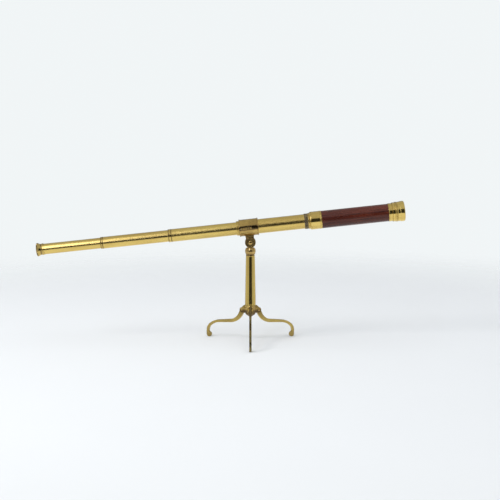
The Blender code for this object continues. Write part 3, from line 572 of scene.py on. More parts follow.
def cup_grime_and_shade(tree):
    """Painted shade round the eyecup's milled edge, and dirt and painted shade in its neck."""
    x = axis_of(tree, "X")
    from_neck = size_of(minus(x, (EYE_END + 10.6) * MM))
    # The darker milled edge is painted shade.
    edge = ramp(x, (EYE_END + 4.2) * MM, (EYE_END + 2.6) * MM, 0.0, 0.6)
    return most(edge, ramp(from_neck, 2.0 * MM, 0.9 * MM, 0.0, 0.7))


def knuckle_shade(tree):
    """Painted shade at the top of a leg, between the hub's ears."""
    return ramp(axis_of(tree, "Z"), 58.0 * MM, 64.0 * MM, 0.0, 0.75)


def toe_darkening_and_ear_shade(tree):
    """Darker towards a leg's toe, and painted shade up between the hub's ears."""
    z = axis_of(tree, "Z")
    # The second ramp, up between the ears, is painted shade.
    return most(ramp(z, 26.0 * MM, 7.0 * MM, 0.0, 0.45), ramp(z, 52.0 * MM, 64.0 * MM, 0.0, 0.4))


def underside_shade(tree):
    """Painted shade low on the hub, darker towards its bottom."""
    return ramp(axis_of(tree, "Z"), 75.0 * MM, 69.0 * MM, 0.0, 0.9)


# The finishes.

# Tones of brass and of what lies on it.
BRIGHT = (0.76, 0.568, 0.175)
WARM = (0.67, 0.48, 0.145)
CAST = (0.62, 0.435, 0.14)
CAST_DEEP = (0.44, 0.295, 0.095)
BROWN = (0.30, 0.195, 0.065)
OLIVE = (0.38, 0.30, 0.115)
GREY = (0.10, 0.082, 0.055)
SPECK = (0.07, 0.045, 0.02)
# The colour mixed in for dirt, and for painted shade.
GRIME_AND_SHADE = (0.14, 0.092, 0.042)


def brass(name, tone, deep, tarnish, stretch, smooth, rough, patina, specks=0.6, waves=0.3, grime_and_shade=None):
    """Old brass, as rough as from smooth to rough, with its tarnish spread from the hollows by patina."""
    made, tree, shader = new_material(name)
    plain = stretched(tree, EVEN)
    broad = noise(stretched(tree, tuple(0.3 + 0.7 * part for part in stretch)), 34.0, 3.0, 0.55)
    cloud = noise(plain, 160.0, 4.0, 0.62, 0.4)
    grain = noise(stretched(tree, stretch), 2600.0, 3.0, 0.6)
    fine = noise(plain, 1500.0, 2.0, 0.6)
    spots = ramp(noise(plain, 420.0, 1.0, 0.4), 0.735, 0.79)
    speck = times(times(spots, ramp(noise(plain, 22.0, 1.0), 0.42, 0.62)), specks)
    film = most(times(crevices(tree, 0.0022), 0.85), times(ramp(cloud, 0.40, 0.72), patina))
    film = minus(film, times(edges(tree, 0.0007), 0.5), clamp=True)
    colour = mix(ramp(broad, 0.36, 0.64), tone, deep)
    colour = mix(ramp(grain, 0.35, 0.75, 0.0, 0.22), colour, deep)
    colour = mix(speck, mix(film, colour, tarnish), SPECK)
    # Mixes in dirt and painted shade, by the mask given.
    if grime_and_shade:
        colour = mix(grime_and_shade(tree), colour, GRIME_AND_SHADE)
    gloss = plus(ramp(grain, 0.3, 0.7, smooth, rough), times(film, 0.2))
    gloss = plus(gloss, times(speck, 0.25), clamp=True)
    height = plus(times(broad, waves), times(grain, 0.012))
    height = minus(plus(height, times(fine, 0.006)), times(speck, 0.02))
    cover(shader, {"Base Color": colour, "Metallic": 1.0, "Roughness": gloss}, height, 0.6, 0.0009)
    return made


def mahogany(name):
    """French-polished mahogany with its grain along X."""
    made, tree, shader = new_material(name)
    figure = noise(stretched(tree, (0.05, 1.0, 1.0)), 190.0, 4.0, 0.55, 0.9)
    stripe = noise(stretched(tree, (0.018, 1.0, 1.0)), 620.0, 2.0, 0.5, 0.3)
    pore = ramp(noise(stretched(tree, (0.035, 1.0, 1.0)), 3400.0, 2.0, 0.55), 0.62, 0.70)
    cloud = noise(stretched(tree, (0.35, 1.0, 1.0)), 42.0, 2.0)
    scratch = ramp(noise(stretched(tree, (0.2, 1.0, 1.0)), 900.0, 2.0), 0.66, 0.72)
    colour = mix(ramp(figure, 0.34, 0.66), (0.034, 0.0060, 0.0038), (0.104, 0.0178, 0.0094))
    colour = mix(ramp(stripe, 0.42, 0.66, 0.0, 0.65), colour, (0.185, 0.040, 0.015))
    colour = mix(ramp(cloud, 0.35, 0.65, 0.0, 0.45), colour, (0.040, 0.0068, 0.0045))
    colour = mix(times(pore, 0.75), colour, (0.012, 0.003, 0.002))
    colour = mix(times(edges(tree, 0.0016), 0.35), colour, (0.20, 0.075, 0.03))
    gloss = ramp(noise(stretched(tree, EVEN), 70.0, 3.0), 0.3, 0.7, 0.24, 0.40)
    height = minus(minus(times(figure, 0.05), times(pore, 0.06)), times(scratch, 0.02))
    inputs = {"Base Color": colour, "Roughness": plus(gloss, times(scratch, 0.1)), "Specular IOR Level": 0.25,
              "Coat Weight": 0.22, "Coat Roughness": 0.12, "Coat IOR": 1.5}
    cover(shader, inputs, height, 0.5, 0.0005)
    return made


def steel(name):
    """Turned steel that has gone grey, with a little brown in its corners."""
    made, tree, shader = new_material(name)
    plain = stretched(tree, EVEN)
    cloud = noise(plain, 700.0, 3.0, 0.6)
    colour = mix(ramp(cloud, 0.35, 0.65), (0.42, 0.40, 0.37), (0.30, 0.28, 0.25))
    colour = mix(times(crevices(tree, 0.0012), 0.8), colour, (0.10, 0.06, 0.035))
    inputs = {"Base Color": colour, "Metallic": 1.0, "Roughness": ramp(cloud, 0.3, 0.7, 0.22, 0.42)}
    cover(shader, inputs, noise(plain, 4000.0, 2.0), 0.15, 0.0002)
    return made


def leather(name):
    """Thin dark leather with its fine grain."""
    made, tree, shader = new_material(name)
    plain = stretched(tree, EVEN)
    cells = add_node(tree, "TexVoronoi", {"Vector": plain, "Scale": 1600.0}).outputs["Distance"]
    cloud = noise(plain, 300.0, 3.0)
    colour = mix(ramp(cloud, 0.35, 0.65), (0.055, 0.026, 0.014), (0.10, 0.05, 0.026))
    colour = mix(ramp(cells, 0.0, 0.5, 0.5, 0.0), colour, (0.02, 0.010, 0.006))
    inputs = {"Base Color": colour, "Roughness": ramp(cloud, 0.3, 0.7, 0.55, 0.8)}
    cover(shader, inputs, cells, 0.5, 0.0002)
    return made


def black_lacquer(name):
    """The matt black of the insides, worn to brass on its corners."""
    made, tree, shader = new_material(name)
    plain = stretched(tree, EVEN)
    cloud = noise(plain, 500.0, 3.0)
    edge = edges(tree, 0.0006)
    colour = mix(ramp(cloud, 0.35, 0.7), (0.012, 0.011, 0.010), (0.030, 0.026, 0.021))
    colour = mix(times(edge, 0.6), colour, (0.35, 0.24, 0.09))
    inputs = {"Base Color": colour, "Metallic": ramp(edge, 0.3, 0.9, 0.0, 0.8),
              "Roughness": ramp(cloud, 0.3, 0.7, 0.5, 0.75)}
    cover(shader, inputs, noise(plain, 5000.0, 2.0), 0.2, 0.0001)
    return made


def glass(name):
    """Old optical glass with a trace of dust."""
    made, tree, shader = new_material(name)
    plain = stretched(tree, EVEN)
    dust = ramp(noise(plain, 1200.0, 3.0, 0.6), 0.58, 0.76)
    roughness = ramp(noise(plain, 90.0, 2.0), 0.3, 0.7, 0.01, 0.05)
    feed(shader, {"Base Color": mix(dust, (0.93, 0.97, 0.98), (0.75, 0.77, 0.74)), "Roughness": roughness,
                  "Transmission Weight": 1.0, "IOR": 1.52})
    return made


tube_brass = brass("drawn_brass", BRIGHT, WARM, BROWN, ALONG_X, 0.18, 0.28, 0.22, specks=0.9, waves=0.03)
polished_brass = brass("polished_brass", BRIGHT, WARM, BROWN, ALONG_X, 0.07, 0.15, 0.10, waves=0.06)
collar_brass = brass("collar_brass", BRIGHT, WARM, BROWN, ALONG_X, 0.10, 0.20, 0.25, waves=0.05,
                     grime_and_shade=collar_grime)
cup_brass = brass("cup_brass", (0.62, 0.46, 0.15), WARM, BROWN, ALONG_X, 0.10, 0.20, 0.35, waves=0.06,
                  grime_and_shade=cup_grime_and_shade)
knurl_brass = brass("worn_knurl", (0.36, 0.275, 0.145), (0.22, 0.18, 0.115), GREY, EVEN, 0.26, 0.42, 0.9,
                    waves=0.1)
cast_brass = brass("cast_brass", CAST, CAST_DEEP, BROWN, EVEN, 0.11, 0.22, 0.5, waves=0.12)
clamp_brass = brass("clamp_brass", CAST, CAST_DEEP, BROWN, EVEN, 0.09, 0.18, 0.42, waves=0.10,
                    grime_and_shade=hinge_grime_and_shade)
screw_brass = brass("screw_brass", (0.68, 0.47, 0.17), (0.50, 0.33, 0.11), BROWN, EVEN, 0.10, 0.2, 0.3,
                    waves=0.1)
joint_brass = brass("joint_brass", (0.60, 0.42, 0.16), (0.42, 0.28, 0.10), BROWN, EVEN, 0.17, 0.31, 0.5,
                    waves=0.15)
pillar_brass = brass("pillar_brass", BRIGHT, WARM, OLIVE, ALONG_Z, 0.08, 0.17, 0.12, waves=0.07)
hub_brass = brass("hub_brass", (0.70, 0.50, 0.16), CAST_DEEP, BROWN, EVEN, 0.07, 0.15, 0.25, waves=0.12,
                  grime_and_shade=underside_shade)
leg_brass = brass("leg_brass", (0.68, 0.50, 0.145), (0.52, 0.38, 0.12), OLIVE, EVEN, 0.14, 0.28, 0.42,
                  waves=0.22, grime_and_shade=toe_darkening_and_ear_shade)
# A darker copy of the legs' brass for the front leg: painted shade.
front_leg_shaded_brass = brass("front_leg_shaded_brass", (0.46, 0.37, 0.13), (0.17, 0.135, 0.055), (0.12, 0.095, 0.045), EVEN,
                       0.18, 0.30, 0.8, waves=0.25, grime_and_shade=knuckle_shade)
wood = mahogany("mahogany")
dull_steel = steel("grey_steel")
dark_leather = leather("dark_leather")
blackened = black_lacquer("black_lacquer")
clear_glass = glass("optical_glass")


# The telescope, from the eyepiece to the objective.


def draw_inner_end(number):
    """Where a draw's tube ends inside the next one."""
    if number == 4:
        return BUSH_START + BUSH_LENGTH + GAP
    following = number + 1
    return COLLAR_START[following] + COLLAR_LENGTH[following] + COLLAR_GUIDE[following] + GAP


def stop_radius(number):
    if number == 4:
        return LINER_INNER - CLOSE_GAP
    return SEAT_IN_DRAW[number + 1]


def lens(node, middle, thickness, radius, bulge_rear, bulge_front):
    """A round lens whose faces stand out by their bulges at the middle, with an eased edge."""
    steps = 14
    outline = []
    for step in range(steps + 1):
        part = step / steps
        outline.append((middle - thickness / 2 - bulge_rear * (1 - part**2), (radius - 0.15) * part))
    outline.append((middle - thickness / 2 + 0.15, radius))
    outline.append((middle + thickness / 2 - 0.15, radius))
    for step in range(steps, -1, -1):
        part = step / steps
        outline.append((middle + thickness / 2 + bulge_front * (1 - part**2), (radius - 0.15) * part))
    piece(node, turned(outline, closed=False), clear_glass)


def make_eyepiece():
    """The eyecup with its milled edge, its flare and a bead, then the cell that is screwed into it."""
    seat = SEAT_IN_DRAW[1]
    tube = COLLAR_START[1] - EYE_END
    outline = [(0.5, 13.3, 0.2), (0.0, 13.9, 0.25), (0.45, 14.7, 0.2)] + rows(0.9, 2.9, 14.85, 0.2)
    outline += curve(3.3, 11.0, 14.6, 12.3, fast_then_flat(2.3), 14) + bead(11.3, 14.6, 12.4, 13.25)
    outline += [(14.9, 12.4, 0.1), (tube - CLOSE_GAP, 12.4, 0.15), (tube - CLOSE_GAP, seat)]
    outline += [(tube + 8.0, seat), (tube + 8.0, 9.2), (7.6, 9.2), (7.6, 4.5, 0.1), (5.7, 4.5, 0.3)]
    outline += curve(5.2, 1.1, 5.6, 12.7, fast_then_flat(1.5), 12)
    cup = turned(outline, centre=(EYE_END, 0, 0), segments=480)
    milled(cup, EYE_END + 0.9, EYE_END + 2.9, 14.85, 120, 0.28)
    piece("eyecup", cup, cup_brass)
    lens("eye_lens", EYE_END + 10.6, 1.6, 9.0, 0.5, 2.2)
    start = COLLAR_START[1] + 8.3
    end = start + 38.0
    cell = [
        (start, seat - 0.8), (start, seat, 0.1), (end, seat, 0.1), (end, seat - 1.8), (end - 1.0, seat - 1.8),
        (end - 1.0, seat - 0.8),
    ]
    piece("eyepiece_cell", turned(cell), blackened)
    lens("field_lens", end - 3.6, 1.8, seat - 1.0, 2.0, 0.3)


def make_erector():
    """The erecting lenses' cell, with the flange that stops the first draw."""
    tube_end = draw_inner_end(1)
    seat = SEAT_IN_DRAW[1]
    flange = tube_end + CLOSE_GAP
    end = flange + 3.0
    start = tube_end - 36.0
    cell = [
        (start, seat - 1.8), (start, seat, 0.1), (flange, seat), (flange, stop_radius(1), 0.1),
        (end, stop_radius(1), 0.1), (end, seat - 1.8), (end - 1.0, seat - 1.8), (end - 1.0, seat - 0.8),
        (start + 1.0, seat - 0.8), (start + 1.0, seat - 1.8),
    ]
    piece("erector_cell", turned(cell), blackened)
    lens("erector_lens_rear", start + 3.8, 1.8, seat - 1.0, 0.3, 1.8)
    lens("erector_lens_front", end - 3.8, 1.8, seat - 1.0, 1.8, 0.3)


def make_tube(number, start):
    outer = DRAW_RADIUS[number]
    tube = ring(start, draw_inner_end(number), outer - WALL, outer, segments=FINE)
    piece(f"draw_{number}_tube", tube, tube_brass, inside=(blackened, faces_axis))


def make_collar(number):
    """A collar with a bead at each end of its flange, a plain band between, and its guide sleeve."""
    start = COLLAR_START[number]
    flange = start + COLLAR_LENGTH[number]
    bore = DRAW_RADIUS[number - 1] + CLOSE_GAP
    tube = DRAW_RADIUS[number]
    sleeve = SEAT_IN_DRAW[number]
    guide = flange + COLLAR_GUIDE[number]
    outline = [(start, bore, 0.1), (start, tube - 0.25, 0.15)]
    outline += bead(start + 0.15, start + 1.75, tube - 0.15, tube + 0.45)
    outline += rows(start + 2.0, flange - 1.6, tube + 0.12, 0.35)
    outline += bead(flange - 1.35, flange - 0.15, tube - 0.15, tube + 0.4)
    outline += [(flange, tube - 0.25, 0.05), (flange, sleeve), (guide, sleeve, 0.1), (guide, bore, 0.1)]
    collar = turned(outline, segments=FINE)
    piece(f"draw_{number}_collar", collar, collar_brass)


def make_stop_ring(number):
    tube_end = draw_inner_end(number)
    sleeve = SEAT_IN_DRAW[number]
    flange = tube_end + CLOSE_GAP
    outline = [
        (tube_end - 4.0, sleeve - 0.6), (tube_end - 4.0, sleeve), (flange, sleeve),
        (flange, stop_radius(number), 0.15), (flange + 3.0, stop_radius(number), 0.15),
        (flange + 3.0, sleeve - 0.6),
    ]
    piece(f"draw_{number}_stop_ring", turned(outline), polished_brass)


def make_bush():
    """The knurled ring at the back of the barrel, a bead, and the cone up to the ferrule."""
    bore = DRAW_RADIUS[4] + CLOSE_GAP
    nose = LINER_INNER - CLOSE_GAP
    ferrule = FERRULE_START - BUSH_START - CLOSE_GAP
    outline = [(0, bore, 0.15), (0, BUSH_RADIUS - 0.4, 0.2)]
    outline += rows(0.7, 7.6, BUSH_RADIUS, 0.18) + [(8.1, BUSH_RADIUS - 0.5, 0.1)]
    outline += bead(8.5, 10.9, BUSH_RADIUS - 0.4, BUSH_RADIUS + 0.75)
    outline += curve(11.1, 13.4, BUSH_RADIUS + 0.1, FERRULE_RADIUS - 0.4, s_shaped)
    outline += [(ferrule, FERRULE_RADIUS - 0.4, 0.15), (ferrule, nose)]
    outline += [(BUSH_LENGTH, nose, 0.1), (BUSH_LENGTH, bore, 0.1)]
    bush = turned(outline, centre=(BUSH_START, 0, 0), segments=540)
    knurl_end = BUSH_START + 7.6
    knurled(bush, BUSH_START + 0.7, knurl_end, BUSH_RADIUS, 90, 0.42)

    def on_knurl(centre, normal):
        reach = math.hypot(centre.y, centre.z)
        return centre.x < knurl_end + 0.6 and reach > BUSH_RADIUS - 0.75

    piece("barrel_bush", bush, polished_brass, inside=(knurl_brass, on_knurl))


def make_barrel():
    """The two ferrules, the liner tube and the wooden sleeve on it."""
    seat = LINER_OUTER + CLOSE_GAP
    radius = FERRULE_RADIUS
    end = SLEEVE_START
    rear = [(FERRULE_START, seat, 0.1), (FERRULE_START, radius, 0.3)]
    rear += [(end - 4.2, radius, 0.1), (end - 3.9, radius - 0.25, 0.1)]
    rear += bead(end - 3.7, end - 1.7, radius - 0.2, radius + 0.35)
    rear += bead(end - 1.6, end - 0.2, radius - 0.2, radius + 0.2)
    rear += [(end, radius - 0.3, 0.05), (end, seat, 0.1)]
    piece("barrel_rear_ferrule", turned(rear, segments=FINE), polished_brass)
    liner = ring(FERRULE_START, CELL_START + 8.6, LINER_INNER, LINER_OUTER, segments=FINE)
    piece("barrel_liner_tube", liner, tube_brass, inside=(blackened, faces_axis))
    sleeve = ring(SLEEVE_START + CLOSE_GAP, SLEEVE_END - CLOSE_GAP, seat, SLEEVE_RADIUS, 0.35, segments=FINE)
    piece("barrel_sleeve", sleeve, wood)
    radius = FRONT_FERRULE_RADIUS
    end = CELL_START - CLOSE_GAP
    front = [(SLEEVE_END, seat, 0.1), (SLEEVE_END, radius - 0.6, 0.1)]
    front += bead(SLEEVE_END + 0.1, SLEEVE_END + 1.7, radius - 0.5, radius)
    front += [(SLEEVE_END + 2.1, radius - 0.2, 0.1), (CELL_START - 1.5, radius - 0.2, 0.2)]
    front += [(CELL_START - 1.1, radius - 0.9, 0.1), (end, radius - 0.9, 0.1), (end, seat, 0.1)]
    piece("barrel_front_ferrule", turned(front, segments=FINE), polished_brass)


def make_objective():
    """The objective's cell with its beads and rounded rim, the two lenses and the ring that keeps them."""
    shoulder = 8.8
    seat = shoulder + 1.5
    end = OBJECTIVE_END - CELL_START
    bore = OBJECTIVE_RADIUS + GAP
    outline = [(0, LINER_OUTER + CLOSE_GAP), (0, 21.4, 0.35), (4.3, 21.4, 0.2), (5.0, 20.95, 0.15)]
    outline += [(5.7, 20.95, 0.1)] + bead(5.9, 8.1, 21.0, 22.25) + bead(8.3, 10.5, 21.0, 22.25)
    outline += [(10.9, 21.3, 0.15), (12.0, 21.8, 0.3), (15.6, 21.8, 0.2)]
    outline += curve(16.0, 17.6, 21.8, 22.6, s_shaped, 5) + arc((end - 2.2, 20.4), 2.2, 90, 0, 10)
    outline += [(end - 0.1, 20.2, 0.1), (end - 1.6, bore, 0.2), (seat, bore), (seat, LINER_INNER + 0.2, 0.1)]
    outline += [(shoulder, LINER_INNER + 0.2), (shoulder, LINER_OUTER + CLOSE_GAP)]
    cell = turned(outline, centre=(CELL_START, 0, 0), segments=FINE)
    piece("objective_cell", cell, polished_brass)
    flint = CELL_START + seat + 2.1
    crown = flint + 4.0
    lens("objective_flint", flint, 3.6, OBJECTIVE_RADIUS, 0.0, -1.2)
    lens("objective_crown", crown, 3.8, OBJECTIVE_RADIUS, 1.0, 1.4)
    start = crown + 2.2
    keeper = [
        (start, OBJECTIVE_RADIUS - 1.4, 0.1), (start, OBJECTIVE_RADIUS),
        (start + 2.6, OBJECTIVE_RADIUS, 0.1), (start + 2.6, OBJECTIVE_RADIUS - 0.7, 0.15),
    ]
    keeper = slotted(turned(keeper, segments=FINE), (start + 1.6, -0.6, -25.0), (start + 4.0, 0.6, 25.0))
    piece("objective_retaining_ring", keeper, blackened)


def make_telescope():
    make_eyepiece()
    make_tube(1, COLLAR_START[1])
    make_erector()
    for number in (2, 3, 4):
        make_collar(number)
        make_tube(number, COLLAR_START[number] + COLLAR_LENGTH[number] + CLOSE_GAP)
        make_stop_ring(number)
    make_bush()
    make_barrel()
    make_objective()


# The clamp.


def half_turned(outline, upper, segments=72):
    phase = CLAMP_SPLIT if upper else 180 + CLAMP_SPLIT
    return turned(outline, segments=segments, phase=phase, sweep=180 - 2 * CLAMP_SPLIT)


def clamp_outline():
    """A cross-section of a clamp half: a plain band between two half-round rims."""
    end = CLAMP_HALF_LENGTH
    outline = [(-end, CLAMP_INNER, 0.1), (-end, CLAMP_OUTER - 0.2, 0.1)]
    outline += bead(-end + 0.1, -end + 2.3, CLAMP_OUTER - 0.1, CLAMP_RIM)
    outline += [(-end + 2.7, CLAMP_OUTER, 0.1), (end - 2.7, CLAMP_OUTER, 0.1)]
    outline += bead(end - 2.3, end - 0.1, CLAMP_OUTER - 0.1, CLAMP_RIM)
    return outline + [(end, CLAMP_OUTER - 0.2, 0.1), (end, CLAMP_INNER, 0.1)]


def hinge_knuckle(index, sign):
    """A knuckle and the leaf that joins it to its half of the clamp, up or down by the sign."""
    start = HINGE_START + index * KNUCKLE_PITCH
    end = start + KNUCKLE_PITCH - GAP
    bore = HINGE_PIN_RADIUS + CLOSE_GAP
    knuckle = ring(start, end, bore, HINGE_RADIUS, 0.55, centre=(0, -HINGE_OFFSET, 0), segments=SMALL_ROUND,
                   phase=HOLE_PHASE)
    leaf_low, leaf_high = (0.75, 1.95) if sign > 0 else (-1.95, -0.75)
    low = (start + 0.13, bore + 0.2 - HINGE_OFFSET, leaf_low)
    high = (end - 0.13, 0.7 - CLAMP_OUTER, leaf_high)
    return [("UNION", knuckle), ("UNION", block(low, high, 0.12))]


def lug_outline():
    """The lug from above: straight sides, and rounded where it ends."""
    corner = 4.0
    outline = [(-LUG_HALF_WIDTH, CLAMP_OUTER - 0.9), (LUG_HALF_WIDTH, CLAMP_OUTER - 0.9)]
    outline += arc((LUG_HALF_WIDTH - corner, LUG_END - corner), corner, 0, 90, 12)
    return outline + arc((-LUG_HALF_WIDTH + corner, LUG_END - corner), corner, 90, 180, 12)


def make_clamp_half(node, upper):
    sign = 1 if upper else -1
    steps = []
    for index in range(1 if upper else 0, KNUCKLES, 2):
        steps += hinge_knuckle(index, sign)
    lug = plate(lug_outline(), LUG_THICKNESS / 2, 0.3, axis="Z")
    bmesh.ops.translate(lug, verts=lug.verts, vec=(0, 0, sign * (2 * GAP + LUG_THICKNESS / 2)))
    steps.append(("UNION", lug))
    clearance = CLOSE_GAP if upper else 0.7
    steps.append(("DIFFERENCE", drill(-9.0, 9.0, THUMB_SCREW_RADIUS + clearance, "Z", (0, SCREW_OFFSET, 0))))
    if not upper:
        seat = [(SINK_LOW - 1.4, 0), (SINK_LOW - 1.4, 1.5), (SINK_LOW, 1.5), (SINK_TOP + 0.1, 2.6),
                (SINK_TOP + 1.5, 2.6), (SINK_TOP + 1.5, 0)]
        for x in SADDLE_SCREWS.values():
            hole = turned(seat, axis="Z", centre=(x, 0, 0), segments=SMALL_ROUND, phase=HOLE_PHASE,
                          closed=False)
            steps.append(("DIFFERENCE", hole))
    half = carved(half_turned(clamp_outline(), upper), *steps)
    piece(node, half, clamp_brass, weighted=True)


def make_clamp():
    make_clamp_half("clamp_lower_half", False)
    make_clamp_half("clamp_upper_half", True)
    hinge_end = HINGE_START + KNUCKLES * KNUCKLE_PITCH - GAP
    pin = rod(HINGE_START - 0.6, hinge_end + 0.6, HINGE_PIN_RADIUS, 0.3, centre=(0, -HINGE_OFFSET, 0),
              segments=SMALL_ROUND)
    piece("clamp_hinge_pin", pin, dull_steel)
    end = CLAMP_HALF_LENGTH - 1.4
    lining = [(-end, LINING_INNER, 0.15), (-end, LINING_OUTER, 0.1), (end, LINING_OUTER, 0.1),
              (end, LINING_INNER, 0.15)]
    for half in ("lower", "upper"):
        piece(f"clamp_lining_{half}", half_turned(lining, half == "upper"), dark_leather)
    for place, x in SADDLE_SCREWS.items():
        low = -CLAMP_OUTER - 4.5
        outline = [(low, 0), (low, 1.2, 0.2), (SINK_LOW, 1.2), (SINK_TOP, 2.3, 0.05), (SINK_TOP, 0)]
        screw = screw_of(outline, (x - 4.0, -0.3, SINK_TOP - 0.45), (x + 4.0, 0.3, SINK_TOP + 1.0),
                         axis="Z", centre=(x, 0, 0), segments=SMALL_ROUND)
        piece(f"saddle_screw_{place}", screw, dull_steel, weighted=True)


def make_thumb_screw():
    """A captive screw with a milled head on a short neck, and a turned boss on top."""
    lug_top = 2 * GAP + LUG_THICKNESS
    outline = [
        (-lug_top - 1.5, 0), (-lug_top - 1.5, THUMB_SCREW_RADIUS, 0.5), (lug_top + GAP, THUMB_SCREW_RADIUS),
        (lug_top + GAP, 3.2, 0.2), (lug_top + 1.8, 3.2, 0.4), (lug_top + 2.6, 5.2, 0.3),
    ]
    outline += rows(lug_top + 3.3, lug_top + 8.1, 6.0, 0.3)
    outline += [(lug_top + 8.6, 5.3, 0.2), (lug_top + 8.6, 3.4, 0.2)]
    outline += [(lug_top + 9.0, 2.9, 0.2), (lug_top + 9.0, 0)]
    head = turned(outline, axis="Z", centre=(0, SCREW_OFFSET, 0), segments=288, closed=False)
    milled(head, lug_top + 3.2, lug_top + 8.2, 6.0, 36, 0.5, axis="Z", centre=(0, SCREW_OFFSET))
    piece("clamp_thumb_screw", head, cast_brass)


# The compass joint.


def make_tongue():
    """The tongue's disc, its neck and the saddle under the clamp."""
    disc = ring(-TONGUE_HALF, TONGUE_HALF, PIVOT_RADIUS + GAP, DISC_RADIUS, 0.35, axis="Y", segments=ROUND)
    neck_top = AXIS_ABOVE_PIVOT - CLAMP_OUTER * 0.8
    neck = [
        (-NECK_HALF_WIDTH + 1.0, 5.0), (NECK_HALF_WIDTH - 1.0, 5.0), (NECK_HALF_WIDTH, 12.0),
        (NECK_HALF_WIDTH, neck_top), (-NECK_HALF_WIDTH, neck_top), (-NECK_HALF_WIDTH, 12.0),
    ]
    saddle_low = DISC_RADIUS + 0.9
    low = (-NECK_HALF_WIDTH - 0.3, -8.5, saddle_low)
    high = (NECK_HALF_WIDTH + 0.3, 8.5, neck_top)
    bed = rod(-30.0, 30.0, CLAMP_OUTER + CLOSE_GAP, centre=(0, 0, AXIS_ABOVE_PIVOT), segments=180,
              phase=HOLE_PHASE)
    steps = [
        ("UNION", plate(neck, TONGUE_HALF - 0.1, 0.3)), ("UNION", block(low, high, 0.8)),
        ("DIFFERENCE", bed),
    ]
    for x in SADDLE_SCREWS.values():
        steps.append(("DIFFERENCE", drill(9.0, 20.0, 1.4, "Z", (x, 0, 0))))
    piece("joint_tongue", carved(disc, *steps), joint_brass, TILT_FRAME, weighted=True)


def make_fork():
    """The turned bulb with the two cheeks of the joint, each faced with a low step."""
    bottom = PILLAR_TOP + 1.5
    neck_radius = 8.0
    neck_height = 214.6
    middle = bottom + 8.0
    bulb = [(bottom, TAPPED_RADIUS), (bottom, PILLAR_TOP_RADIUS - 0.1, 0.2)]
    bulb += bead(bottom + 0.5, bottom + 2.1, PILLAR_TOP_RADIUS - 0.2, PILLAR_TOP_RADIUS + 0.75, 8)
    bulb += [(bottom + 2.4, PILLAR_TOP_RADIUS, 0.1)]
    bulb += arc((middle, 0), BULB_RADIUS, 117, 54, 20)
    bulb += [
        (neck_height - 0.8, neck_radius, 1.2), (neck_height + 3.0, neck_radius),
        (neck_height + 3.0, TAPPED_RADIUS),
    ]
    bore = PIVOT_RADIUS + CLOSE_GAP
    step = 0.35
    discs = [
        (-CHEEK_SIDE + step, bore), (-CHEEK_SIDE + step, DISC_RADIUS - 2.2, 0.1),
        (-CHEEK_SIDE, DISC_RADIUS - 1.9, 0.1), (-CHEEK_SIDE, DISC_RADIUS, 0.7),
        (CHEEK_SIDE, DISC_RADIUS, 0.7), (CHEEK_SIDE, DISC_RADIUS - 1.9, 0.1),
        (CHEEK_SIDE - step, DISC_RADIUS - 2.2, 0.1), (CHEEK_SIDE - step, bore),
    ]
    slot_floor = PIVOT_HEIGHT - DISC_RADIUS - 0.8
    low = (-DISC_RADIUS - 5.0, -SLOT_HALF, slot_floor)
    high = (DISC_RADIUS + 5.0, SLOT_HALF, PIVOT_HEIGHT + DISC_RADIUS + 5.0)
    fork = carved(
        turned(bulb, axis="Z", segments=ROUND),
        ("UNION", turned(discs, axis="Y", centre=PIVOT_POINT, segments=ROUND, phase=HOLE_PHASE)),
        ("DIFFERENCE", block(low, high)),
        ("DIFFERENCE", drill(slot_floor - 4.0, slot_floor + 1.0, 4.6, "Z")),
    )
    piece("joint_fork", fork, joint_brass, STAND_FRAME, weighted=True)


def make_joint():
    make_tongue()
    make_fork()
    near = TONGUE_HALF + CLOSE_GAP
    far = near + WASHER_THICKNESS
    for side, low, high in (("front", -far, -near), ("back", near, far)):
        washer = ring(low, high, PIVOT_RADIUS + GAP, DISC_RADIUS - 1.0, 0.1, axis="Y", centre=PIVOT_POINT)
        piece(f"joint_washer_{side}", washer, dark_leather, STAND_FRAME)

    head_low = -CHEEK_SIDE - CLOSE_GAP
    screw = dome(head_low, 1.7, 4.6) + [
        (head_low, PIVOT_RADIUS), (CHEEK_SIDE + 4.4, PIVOT_RADIUS, 0.5), (CHEEK_SIDE + 4.4, 0),
    ]
    low = (-6, head_low - 3.0, PIVOT_HEIGHT - 0.45)
    high = (6, head_low - 0.9, PIVOT_HEIGHT + 0.45)
    screw = screw_of(screw, low, high, axis="Y", centre=PIVOT_POINT)
    piece("joint_pivot_screw", screw, screw_brass, STAND_FRAME, weighted=True)

    nut_low = CHEEK_SIDE + CLOSE_GAP
    nut_high = CHEEK_SIDE + 3.4
    crown = [(nut_low - 0.5, 0), (nut_low - 0.5, 5.6), (nut_high - 0.9, 5.6), (nut_high + 0.35, 3.6),
             (nut_high + 0.35, 0)]
    crown = turned(crown, axis="Y", centre=PIVOT_POINT, segments=SCREW_ROUND, phase=HOLE_PHASE, closed=False)
    bore = drill(CHEEK_SIDE - 1.0, CHEEK_SIDE + 5.0, PIVOT_RADIUS + CLOSE_GAP, "Y", PIVOT_POINT)
    nut = rod(nut_low, nut_high, 5.2, axis="Y", centre=PIVOT_POINT, segments=6)
    nut = carved(nut, ("INTERSECT", crown), ("DIFFERENCE", bore))
    piece("joint_nut", nut, cast_brass, STAND_FRAME, weighted=True)


# The stand.


